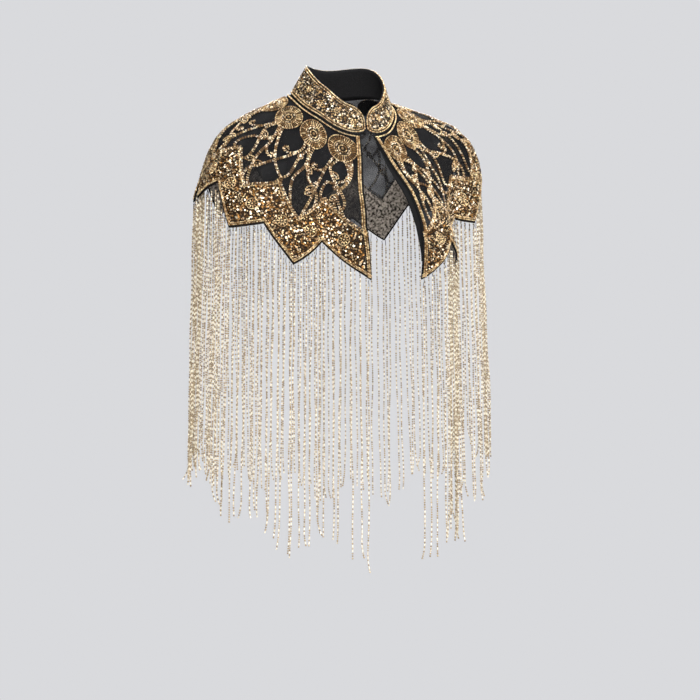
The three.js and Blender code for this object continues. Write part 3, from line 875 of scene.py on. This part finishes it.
def outlineOf(side):
    # the neck, down the left front edge, along the hem, and up the right front edge
    start, end = panels[side]
    halves, cut = parallelTo(start, end, 0)
    if side == "Left":
        down = np.arange(6, hemCutAt(0), 2.0)
        halves, cut = np.concatenate([0 * down, halves]), np.concatenate([down, cut])
    if side == "Right":
        down = np.arange(hemCutAt(allHalves), 6, -2.0)
        halves, cut = np.concatenate([halves, 0 * down + allHalves]), np.concatenate([cut, down])
    path, normals = onPanel(halves, cut)
    moved = np.linalg.norm(np.diff(path, axis=0, append=path[-1:] + 9), axis=1) > 0.2
    return path[moved], normals[moved]


def makeBinding(side):
    path, normals = outlineOf(side)
    w, t = binding["width"], binding["thick"]
    # (aside, up) from inside the edge, over it, and back under
    profile = [(w * 0.5, -0.1), (w, 0.2), (w, t), (w * 0.7, t + 0.25), (-0.4, t), (-0.9, t * 0.5), (-0.5, 0.0)]
    return newPiece("hemBinding" + side, ribbon(path, normals, profile), [blackBinding], "mesh")


bindingPieces = {side: makeBinding(side) for side in panels}


# The edgings: rows of beads down the front edges and under the collar

edging = dict(  # insets from the front edge, and a dark row between the two light ones
    rows=(2.6, 5.4), between=4.0, bead=(2.1, 2.3, 2.1), lift=1.6, darkBead=(1.5, 1.2, 1.3), darkLift=1.5,
    tapeHalf=3.2, tape=(1.3, 1.62), neckCut=4.8, neckBead=(2.0, 2.1, 2.0), neckLift=1.55,
    neckTapeHalf=2.2, neckTape=(1.3, 1.6), neckEndsAt=4.6, neckEndsOff=1.0,
    shades=(0.4, 1.0), darkShades=(0.1, 0.5), neckShades=(0.5, 1.0),
)


def frontPath(side, inset, top=5.0):
    cut = np.arange(top, hem["tip"] - 1 - inset * 0.4, 0.8)
    turn = edgeTurn(1 if side == "Left" else -1, cut, inset)
    return onCloth(turn if side == "Left" else 360 - turn, cut)


def tapeAlong(path, normals, half, heights):
    low, high = heights
    return ribbon(path, normals, [(-half, low), (half, low), (half, high), (-half, high)], finish=3)


def makeEdging(side):
    parts = [
        beadRow(*frontPath(side, inset), edging["bead"], edging["shades"], lift=edging["lift"])
        for inset in edging["rows"]
    ]
    dark = frontPath(side, edging["between"])
    parts.append(beadRow(*dark, edging["darkBead"], edging["darkShades"], lift=edging["darkLift"]))
    under = frontPath(side, edging["between"], top=4.0)
    parts.append(tapeAlong(*under, edging["tapeHalf"], edging["tape"]))
    return newPiece(
        "frontEdging" + side, joined(parts), [*beadwork, blackBinding], "beads", "edging_" + side.lower(),
    )


def makeNeckEdging():
    # it stops a degree short of each front edge
    first, last = (float(edgeTurn(way, edging["neckEndsAt"])) + edging["neckEndsOff"] for way in (1, -1))
    turn = np.arange(first, 360 - last, 0.4)
    path, normals = onCloth(turn, edging["neckCut"])
    parts = [
        beadRow(path, normals, edging["neckBead"], edging["neckShades"], lift=edging["neckLift"]),
        tapeAlong(path, normals, edging["neckTapeHalf"], edging["neckTape"]),
    ]
    newPiece("neckEdging", joined(parts), [*beadwork, blackBinding], "beads", "neck_edging")


underlap = dict(
    width=10.5, least=1.5, under=3.0, cut=(12.0, 198.0), widens=75, narrows=60, below=-0.15, thick=0.6,
    rows=70, columns=5,
)


def makeUnderlap():
    # a strip that stands out from under the left front edge: widest over the chest, narrow at its ends
    top, foot = underlap["cut"]
    cut = np.linspace(top, foot, underlap["rows"])[:, None]
    grown = smoothStep((cut - top) / underlap["widens"]) * smoothStep((foot - cut) / underlap["narrows"])
    reach = underlap["least"] + (underlap["width"] - underlap["least"]) * grown
    inset = underlap["under"] - (underlap["under"] + reach) * np.linspace(1, 0, underlap["columns"])[None]
    cut = cut + 0 * inset
    wall = clothWall(edgeTurn(1, cut, inset), cut, underlap["below"] - underlap["thick"], underlap["below"])
    return newPiece("leftUnderlap", wall, [blackBinding], "mesh"), np.stack([inset, cut], -1)


underlapPiece, underlapFlat = makeUnderlap()
edgingPieces = {side: makeEdging(side) for side in ("Left", "Right")}
makeNeckEdging()


# The stand collar

collar = dict(
    height=44.8, foot=1.9, wall=1.6, forward=14.7, inward=25.1, corner=24.0, underside=0.4, ends=1.2,
    seam=-0.6, seamFrom=16, length=np.pi * (neckRing["halfWidth"] + neckRing["front"]),
    cell=2.5, shaken=0.46, field=(4, 44), fieldEnds=3, fieldInset=(6.4, 6.9, 6.0), sequins=0.5,
    sequinTips=0.33, sequinShadesAndGlints=(0.6, 0.75), beadShadesAndGlints=(0.6, 0.8),
    sequinRadius=(1.1, 1.8), sequinDepth=0.25, sequinHeights=(0.5, 1.3), beadLengths=(0.8, 1.7),
    beadWidth=0.9, goldShare=0.45, flowersFrom=27, flowersApart=26.5, flowersLeave=10, flowersUp=22,
    flowersSwing=3.5, flowerClear=5.6, flowerSize=0.85, edgeRows=((1.3, (0.5, 1.0)), (4.9, (0.4, 0.95))),
    edgeBead=(2.0, 2.2, 2.0),
)


def onCollar(along, up, height=0.0):
    # the neck seam's place, moved up a tilted axis that leans inwards, and out by a height
    along, up = np.broadcast_arrays(np.asarray(along, float), np.asarray(up, float))
    turn = along / collar["length"] * 360
    tilt, lean = np.radians(collar["forward"]), np.radians(collar["inward"])
    angle = np.radians(turn)
    out = np.stack([np.sin(angle), -np.cos(angle), 0 * angle], -1)
    axis = np.array([0, -np.sin(tilt), np.cos(tilt)])
    rise = axis * np.cos(lean) - out * np.sin(lean)
    ahead = unit(tableAt(bareTable, turn + 0.5, 0) - tableAt(bareTable, turn - 0.5, 0))
    normal = unit(np.cross(ahead, rise))
    return tableAt(bareTable, turn, 0) + rise * up[..., None] + normal * np.asarray(height)[..., None], normal


def collarRise(fromEnd):
    r = collar["corner"]
    d = np.clip(r - fromEnd, 0, r)
    rounded = r - np.sqrt(r * r - d * d)
    return collar["foot"] + rounded * collar["underside"], collar["height"] - rounded


def collarRun(atEnds, between):
    # lengths along the collar, closer in its rounded ends, and its foot and top there
    r, whole, ends = collar["corner"], collar["length"], collar["ends"]
    bend = ends + r * (1 - np.cos(np.linspace(0, np.pi / 2, atEnds)))
    straight = np.linspace(ends + r, whole - ends - r, between)[1:-1]
    along = np.concatenate([bend, straight, whole - bend[::-1]])
    return along, *collarRise(np.minimum(along, whole - along) - ends)


def collarOutline(inset):
    # the collar's outline as (along, up), each point moved inwards square to the line
    along, low, high = collarRun(40, 500)
    top = np.stack([along, high], -1)
    foot = np.stack([along, low], -1)[::-1]
    loop = np.concatenate([top, foot[1:-1]])
    ahead = unit(np.roll(loop, -1, axis=0) - np.roll(loop, 1, axis=0))
    return loop + np.stack([ahead[:, 1], -ahead[:, 0]], -1) * inset


def makeCollar():
    along, low, high = collarRun(14, 150)
    fromEnd = np.minimum(along, collar["length"] - along)
    low = np.where(fromEnd > collar["seamFrom"], collar["seam"], low)
    up = high[:, None] + (low - high)[:, None] * np.linspace(0, 1, 12)[None]
    along = np.broadcast_to(along[:, None], up.shape)
    wall = closedWall(onCollar(along, up, collar["wall"])[0], onCollar(along, up)[0])
    return newPiece("standCollar", wall, [collarLining], "mesh", "collar"), np.stack([along, up], -1)


def makeCollarBeads():
    # the field: sequins, cut beads and small flowers inside the edge rows
    whole, cell = collar["length"], collar["cell"]
    ends = collar["fieldEnds"]
    s, u = shakenGrid(
        np.arange(ends, whole - ends, cell), np.arange(*collar["field"], cell), cell * collar["shaken"],
    )
    flowerAlong = np.arange(collar["flowersFrom"], whole - collar["flowersLeave"], collar["flowersApart"])
    flowerUp = collar["flowersUp"] + collar["flowersSwing"] * (-1.0) ** np.arange(len(flowerAlong))
    away = np.hypot(s[:, None] - flowerAlong, u[:, None] - flowerUp).min(axis=1)
    fromEnd = np.minimum(s, whole - s) - collar["ends"]
    low, high = collarRise(fromEnd)
    fromFoot, fromTop, fromFront = collar["fieldInset"]
    kept = (away > collar["flowerClear"]) & (u > low + fromFoot) & (u < high - fromTop) & (fromEnd > fromFront)
    spots, normals = onCollar(s[kept], u[kept], collar["wall"])
    count = len(spots)
    tip, around = tippedAtRandom(normals, collar["sequinTips"])
    radius = rng.uniform(*collar["sequinRadius"], count)
    q = rng.random(count) < collar["sequins"]
    # the sequins' and beads' shades, mostly very dark and very light, are partly their own tones and partly
    # painted glints and painted dark reflections
    parts = [scattered(
        sequin, spots[q] + normals[q] * rng.uniform(*collar["sequinHeights"], (q.sum(), 1)), around[q], tip[q],
        sizesOf(radius[q], radius[q], collar["sequinDepth"] * radius[q]),
        rng.beta(*collar["sequinShadesAndGlints"], q.sum()), smooth=False, finish=2,
    )]
    size = sizesOf(rng.uniform(*collar["beadLengths"], count), collar["beadWidth"], collar["beadWidth"])
    gold = rng.random(count) < collar["goldShare"]
    for b, finish in ((~q & gold, 0), (~q & ~gold, 2)):
        parts.append(scattered(
            seedBead, spots[b] + normals[b] * collar["beadWidth"], around[b], normals[b], size[b],
            rng.beta(*collar["beadShadesAndGlints"], b.sum()), finish=finish,
        ))
    spots, normals = onCollar(flowerAlong, flowerUp, collar["wall"])
    ahead, _ = onCollar(flowerAlong + 0.5, flowerUp, collar["wall"])
    parts += flowers(spots, normals, unit(ahead - spots), 0.0, collar["flowerSize"])
    return newPiece("collarBeads", joined(parts), beadwork, "sequins")


def makeCollarEdging():
    # two rows of beads that follow the whole outline, with a bare dark line between them
    parts = []
    for inset, shade in collar["edgeRows"]:
        loop = collarOutline(inset)
        loop = np.concatenate([loop, loop[:1]])
        path, normals = onCollar(loop[:, 0], loop[:, 1], collar["wall"] + 0.1)
        parts.append(beadRow(path, normals, collar["edgeBead"], shade))
    return newPiece(
        "collarEdging", joined(parts), beadwork, "beads", "collar_top_edging", "collar_foot_edging",
    )


collarPiece, collarFlat = makeCollar()
collarBeadsPiece = makeCollarBeads()
collarEdgingPiece = makeCollarEdging()


# The rosettes

rosette = dict(
    count=13, radius=22.0, cut=31.0, firstTurn=28.0, base=1.35, ground=1.75,
    rings=(  # radius, bead, shades and finish, from the rim inwards
        (20.9, (2.0, 1.7, 1.9), (0.2, 0.95), 0), (12.0, (2.0, 1.7, 1.9), (0.4, 1.0), 0),
        (9.3, (2.6, 2.2, 2.2), (0.0, 1.1), 2), (5.6, (2.1, 1.9, 2.0), (0.2, 1.1), 0),
    ),
    pitch=1.03, spokes=36, spokeAt=16.4, spoke=(3.1, 0.6, 0.8), spokeShades=(0.15, 0.9),
    middle=(1.9, 1.9, 1.8), middleUp=1.5, middleShade=0.55,
)


def rosetteTurns():
    turns = np.linspace(rosette["firstTurn"], 360 - rosette["firstTurn"], 361)
    ring = tableAt(bareTable, turns, rosette["cut"])
    lengths = runLengths(ring)
    return np.interp(np.linspace(0, lengths[-1], rosette["count"]), lengths, turns)


def discPlace(turn, radius, angle):
    # a place round a rosette's middle, its sideways length turned into degrees at its own cut
    cut = rosette["cut"] - radius * np.cos(angle)
    acrossDegree = tableAt(bareTable, turn + 0.5, cut) - tableAt(bareTable, turn - 0.5, cut)
    return turn + radius * np.sin(angle) / np.linalg.norm(acrossDegree, axis=-1), cut


def spotsRound(turn, radius, angle, ahead):
    # places round a rosette, each with the way out and the way to the place that ahead gives
    spots, normals = onCloth(*discPlace(turn, radius, angle))
    further, _ = onCloth(*discPlace(turn, *ahead))
    return spots, normals, unit(further - spots)


def ringOfBeads(turn, radius, bead, shade, finish):
    count = int(2 * np.pi * radius / (bead[0] * rosette["pitch"]))
    angle = 2 * np.pi * (np.arange(count) + rng.random()) / count
    spots, normals, along = spotsRound(turn, radius, angle, (radius, angle + 0.02))
    lift = rosette["ground"] + bead[2] / 2
    return scattered(
        seedBead, spots + normals * lift, along, normals, np.array(bead) / 2, rng.uniform(*shade, count),
        finish=finish,
    )


def makeRosette(turn):
    # a ground, rings of beads round a bare dark one, a ring of spokes, and a gold middle
    angle = np.linspace(0, 2 * np.pi, 41)[:, None]
    radius = np.array([[0.05, 7.0, 14.5, rosette["radius"] - 0.3]])
    turns, cuts = (grid[:, ::-1] for grid in discPlace(turn, radius, -angle))
    parts = [clothWall(turns, cuts, rosette["base"], rosette["ground"], finish=3)]
    parts += [ringOfBeads(turn, *ring) for ring in rosette["rings"]]
    spokes, at = rosette["spokes"], rosette["spokeAt"]
    angle = 2 * np.pi * np.arange(spokes) / spokes
    spots, normals, along = spotsRound(turn, at, angle, (at + 1, angle))
    tall = rosette["spoke"][2]
    parts.append(scattered(
        bugleBead, spots + normals * (rosette["ground"] + tall), along, normals, rosette["spoke"],
        rng.uniform(*rosette["spokeShades"], spokes),
    ))
    middle, normal = onCloth([turn], [rosette["cut"]])
    middle = middle + normal * (rosette["ground"] + rosette["middleUp"])
    parts.append(scattered(
        roundBead, middle, np.array([[1.0, 0, 0]]), normal, rosette["middle"], rosette["middleShade"],
    ))
    return parts


turnsOfRosettes = rosetteTurns()
newPiece(
    "rosettes", joined([p for turn in turnsOfRosettes for p in makeRosette(turn)]),
    [*beadwork, borderGround], "beads", *["rosette_%02d" % (i + 1) for i in range(rosette["count"])],
)


# The vines: ropes of beads that run from the rosettes to the border, with curls and leaves

vine = dict(
    top=50.0, bead=(1.9, 2.1, 2.0), apart=1.02, closer=0.95, lift=1.3, overlap=0.3,
    # bright is the share of rope beads painted the lightest silver as glints
    light=(0.35, 0.9), dark=(0.0, 0.3), bright=0.16, shadeShaken=0.08, endShaken=0.08,
    clear=3.5, borderRope=2.2, borderApart=1.0,
    keepOff=0.22, keepOffSeam=0.08, softness=0.1, inside=0.3, steps=150,
    stems=(  # for every other rosette by turns: where each stem starts and ends, in half teeth, and its swing
        ((-0.3, -1.33, -0.12), (0.16, -0.44, 0.24), (-0.1, 0.0, -0.24), (0.05, 0.89, 0.2), (0.32, 1.78, 0.1)),
        ((-0.32, -1.56, 0.12), (0.14, -0.67, -0.2), (-0.12, 0.22, 0.24), (0.3, 1.11, -0.16)),
    ),
    # each with its stem, the share of the stem above it, and its heading from straight down
    tendrils=((0, 0.24, 0.55, 36, 1), (3, 0.42, -0.6, 32, -1)),  # and its length and the way it turns
    leaves=((0, 0.62, 0.9), (2, 0.3, -0.9), (3, 0.66, 0.8)), crystals=((1, 0.3),),
    tendrilTurn=(0.5, 5.6), crystal=(2.1, 2.1, 1.5), crystalUp=2.6, crystalRing=3.6,
    crystalRingBead=(1.6, 1.6, 1.6), crystalRingShades=(0.5, 1.0),
)
leafForm = dict(  # starts, bow and the middle row's start and length are shares of the leaf's length
    length=15, starts=0.12, bow=0.27, bead=(1.9, 2.0, 1.9), shades=(0.45, 1.0),
    middleStarts=0.3, middleLength=0.62, middleBead=(3.0, 2.0, 1.8), middleShades=(0.3, 1.0),
)
evenHalves = np.linspace(0, allHalves, 481)
rosetteHalves = np.interp(turnsOfRosettes, panelTurn(evenHalves, 45.0), evenHalves)


def vineCut(halves, down):
    # down is 0 under the rosettes and 1 at the border's top edge
    return vine["top"] + (hemCutAt(halves) - hem["border"] - vine["top"]) * down


def keptOn(halves, side):
    # a soft limit, ln(1 + exp) on each side: what would cross a seam or a front edge runs along it
    low, high = panels[side]
    low = low + vine["keepOff" if side == "Left" else "keepOffSeam"]
    high = high - vine["keepOff" if side == "Right" else "keepOffSeam"]
    soft = vine["softness"]
    halves = low + soft * np.logaddexp(0, (halves - low) / soft)
    return high - soft * np.logaddexp(0, (high - halves) / soft)


def endOn(halves, side):
    # a stem that would end past the panel's side ends inside it, a quarter as far the other way
    low, high = panels[side][0] + vine["inside"], panels[side][1] - vine["inside"]
    halves = low + max(halves - low, 0.25 * (low - halves))
    return high - max(high - halves, 0.25 * (halves - high))


def rope(path, normals, over=0.0, apart=vine["apart"]):
    # two rows side by side, bead against bead, light and dark by turns; a share of them, given the lightest
    # silver, are painted glints
    centres, along, up = lineOfSpots(path, normals, vine["bead"][0])
    across = unit(np.cross(up, along))
    count = len(centres)
    dark, light = (rng.uniform(*vine[key], count) for key in ("dark", "light"))
    shade = np.where(np.arange(count) % 2, dark, light)
    size = np.array(vine["bead"]) / 2
    lift = vine["lift"] + over + size[2]
    made = []
    for aside in (-apart, apart):
        spots = centres + across * aside + along * 0.4 * aside + up * lift
        sizes = size * rng.uniform(*strung["uneven"], (count, 1))
        shades = np.clip(shade + rng.uniform(-vine["shadeShaken"], vine["shadeShaken"], count), 0, 1)
        # these beads get the lightest silver colour as painted glints
        bright = rng.random(count) < vine["bright"]
        for chosen, finish in ((~bright, 0), (bright, 2)):
            if chosen.any():
                made.append(scattered(
                    seedBead, spots[chosen], along[chosen], up[chosen], sizes[chosen],
                    np.where(bright, 1.0, shades)[chosen], finish=finish,
                ))
    return made


def stemAt(start, end, swing, t):
    # it swings from start to end: start + (end - start) smooth(t) + swing sin 2 pi t
    return start + (end - start) * smoothStep(t) + swing * np.sin(2 * np.pi * t)


def inPlane(side, halves, down, x, y):
    # places x mm round the cape and y mm down it from one place, or turned over at a seam; it ends
    # where it would reach the border
    cut = vineCut(halves, down)
    (before, after), _ = onPanel(np.array([halves - 0.05, halves + 0.05]), cut)
    perHalf = float(np.linalg.norm(after - before)) / 0.1
    low, high = panels[side]
    reach = halves + np.array([x.min(), x.max()]) / perHalf
    if reach[0] < low + vine["keepOff"] or reach[1] > high - vine["keepOff"]:
        x = -x
    at = np.clip(halves + x / perHalf, low + 0.05, high - 0.05)
    free = cut + y < hemCutAt(at) - hem["border"] - vine["clear"]
    stop = len(free) if free.all() else max(int(np.argmin(free)), 2)
    return onPanel(at[:stop], (cut + y)[:stop])


def tendril(side, halves, down, heading, length, flip):
    # its heading turns faster and faster: heading + flip (first u + last u^3), u from 0 to 1 along it
    u = np.linspace(0, 1, 110)
    first, last = vine["tendrilTurn"]
    angle = np.pi / 2 + heading + flip * (first * u + last * u**3)
    x = np.cumsum(np.cos(angle)) * length / len(u)
    y = np.cumsum(np.sin(angle)) * length / len(u)
    return rope(*inPlane(side, halves, down, x, y), 2 * vine["overlap"], vine["closer"])


def leaf(side, halves, down, heading):
    # two bowed edges of small beads, y = +-bow sin(pi t), and long beads down the middle
    length, angle = leafForm["length"], np.pi / 2 + heading
    t = np.linspace(0, 1, 50)
    c, n = np.cos(angle), np.sin(angle)

    def row(x, y, bead, shade, finish=0):
        path, normals = inPlane(side, halves, down, x * c - y * n, x * n + y * c)
        return beadRow(path, normals, bead, shade, lift=vine["lift"], finish=finish)

    made = []
    for bow in (-leafForm["bow"], leafForm["bow"]):
        x, y = length * (leafForm["starts"] + t), length * bow * np.sin(np.pi * t)
        made.append(row(x, y, leafForm["bead"], leafForm["shades"]))
    x = length * (leafForm["middleStarts"] + leafForm["middleLength"] * t)
    return made + [row(x, 0 * t, leafForm["middleBead"], leafForm["middleShades"], 2)]


def crystal(side, halves, down):
    # a larger clear bead in a ring of small ones
    spots, normals, across = onPanelFrames(np.array([halves]), vineCut(np.array([halves]), down))
    angle = np.linspace(0, 2 * np.pi, 60)
    ring = vine["crystalRing"]
    path, up = inPlane(side, halves, down, ring * np.cos(angle), ring * np.sin(angle))
    middle = spots + normals * vine["crystalUp"]
    return [
        scattered(roundBead, middle, across, normals, vine["crystal"], 1.0, finish=2),
        beadRow(path, up, vine["crystalRingBead"], vine["crystalRingShades"], lift=vine["lift"]),
    ]


def makeVines(side):
    low, high = panels[side]
    parts = []
    t = np.linspace(0, 1, vine["steps"])
    for k, middle in enumerate(rosetteHalves):
        if not low <= middle < high:
            continue
        grown = []
        for start, end, swing in vine["stems"][k % 2]:
            stop = endOn(middle + end + rng.uniform(-vine["endShaken"], vine["endShaken"]), side)
            grown.append(keptOn(stemAt(middle + start, stop, swing, t), side))
        for j, halves in enumerate(grown):
            parts += rope(*onPanel(halves, vineCut(halves, t)), vine["overlap"] * j)
        for make, places in ((tendril, "tendrils"), (leaf, "leaves"), (crystal, "crystals")):
            for j, down, *rest in vine[places]:
                at = float(grown[j][int((vine["steps"] - 1) * down)])
                parts += make(side, at, down, *rest)
    halves, cut = parallelTo(low, high, 0)
    parts += rope(*onPanel(halves, cut - hem["border"] - vine["borderRope"]), 0.0, vine["borderApart"])
    return newPiece("vineBeads" + side, joined(parts), beadwork, "beads", "vines_" + side.lower())


vinePieces = {side: makeVines(side) for side in panels}


# The fringe: bead strands, each on a thread that shows black for the first few millimetres

fringe = dict(
    length=394.0, lean=16.0, uneven=7.0, chance=3, longest=14, spots=[0.05, 0.23, 0.41, 0.59, 0.77, 0.94],
    below=2.3, height=0.7, bead=(3.2, 2.4), pitch=3.3, stretch=(0.96, 1.04), firstBead=(4, 11), thread=0.3,
    sway=2.2, swayPower=1.6, curl=3.2, curlFrom=0.93, curlMost=1.2, curlRise=0.35, threadShaken=0.5,
    waves=((0.55, 19), (0.9, 47), (0.5, 23)),  # how far and how slow, in mm: fine, long, to the front
    # bright and dull beads by turns: partly the strands' own lighter and darker beads, partly a painted
    # highlight on each bead and painted shade at its edges
    brightShare=0.66, bright=(0.8, 1.0), dull=(0.12, 0.65), unevenBeads=(0.9, 1.06),
)


def unevenOf(i):
    return 2 * np.mod(i * 37, 101) / 100 - 1


def makeFringe(side):
    start, end = panels[side]
    each = len(fringe["spots"])
    number = np.arange(start * each, end * each)
    tooth, spot = number // each, np.tile(fringe["spots"], end - start)
    at = tooth + np.where(tooth % 2 == 1, 1 - spot, spot)
    hemTurn, hemCut = hemTurnAt(at), hemCutAt(at)
    root, _ = onCloth(grainTurn(hemTurn, hemCut), hemCut + fringe["below"], fringe["height"])
    out = np.sin(np.radians(hemTurn))
    lean = fringe["lean"] * np.sign(out) * np.abs(out) ** 3
    byChance = rng.uniform(-fringe["chance"], fringe["chance"], at.size)
    length = fringe["length"] + fringe["uneven"] * unevenOf(number) + byChance

    # each strand: straight down, with a slow sway, a fine wave, and an end that curls a little
    steps = int((fringe["length"] + fringe["longest"]) / (fringe["stretch"][0] * fringe["pitch"])) + 1
    started = rng.uniform(0, 1, (at.size, 1))
    down = (np.arange(steps) + started) * fringe["pitch"] * rng.uniform(*fringe["stretch"], (at.size, 1))
    t = down / length[:, None]
    phase = rng.uniform(0, 6.28, (3, at.size, 1))
    sway = rng.normal(0, fringe["sway"], (2, at.size, 1)) * t ** fringe["swayPower"]
    fineWave, longWave, forwardWave = (
        far * np.sin(down / slow + phase[k]) for k, (far, slow) in enumerate(fringe["waves"])
    )
    atEnd = np.clip((t - fringe["curlFrom"]) / (1 - fringe["curlFrom"]), 0, fringe["curlMost"])
    curlEnd = rng.normal(0, fringe["curl"], (2, at.size, 1)) * atEnd**2
    x = root[:, None, 0] + lean[:, None] * t + sway[0] + (fineWave + longWave * t) + curlEnd[0]
    y = root[:, None, 1] + sway[1] + forwardWave + curlEnd[1]
    z = root[:, None, 2] - down + np.abs(curlEnd[0]) * fringe["curlRise"]
    line = np.stack([x, y, z], -1)
    beaded = (down > rng.uniform(*fringe["firstBead"], at.size)[:, None]) & (t < 1)
    along = unit(np.gradient(line, axis=1))
    up = unit(np.cross(along, [0, 1, 0.001]))
    # every other bead may be bright, a painted highlight as well as a lighter bead; the dull ones carry painted
    # shade as well as darker glass
    order = np.arange(steps)[None] + rng.integers(0, 2, (at.size, 1))
    bright = (order % 2 == 0) & (rng.random(t.shape) < fringe["brightShare"])
    shade = np.where(bright, *(rng.uniform(*fringe[key], t.shape) for key in ("bright", "dull")))
    long, wide = fringe["bead"]
    sizes = np.array([long, wide, wide]) / 2 * rng.uniform(*fringe["unevenBeads"], (beaded.sum(), 1))
    parts = [scattered(seedBead, line[beaded], along[beaded], up[beaded], sizes, shade[beaded])]

    # the bare thread from the hem to the first bead
    w = fringe["thread"]
    profile = [(-w, -w), (w, -w), (w, w), (-w, w)]
    for k in range(at.size):
        low = line[k, int(np.argmax(beaded[k]))]
        path = root[k] + (low - root[k]) * np.linspace(0, 1, 5)[:, None]
        path[1:-1] += rng.normal(0, fringe["threadShaken"], (3, 3)) * [1, 1, 0.2]
        normals = np.tile([[0.0, -1.0, 0.0]], (5, 1))
        parts.append(ribbon(path, normals, profile, finish=1))
    return newPiece(
        "fringeStrands" + side, joined(parts), [strandGlass, blackThread], "strand_beads",
        "fringe_" + side.lower(),
    )


fringePieces = {side: makeFringe(side) for side in panels}
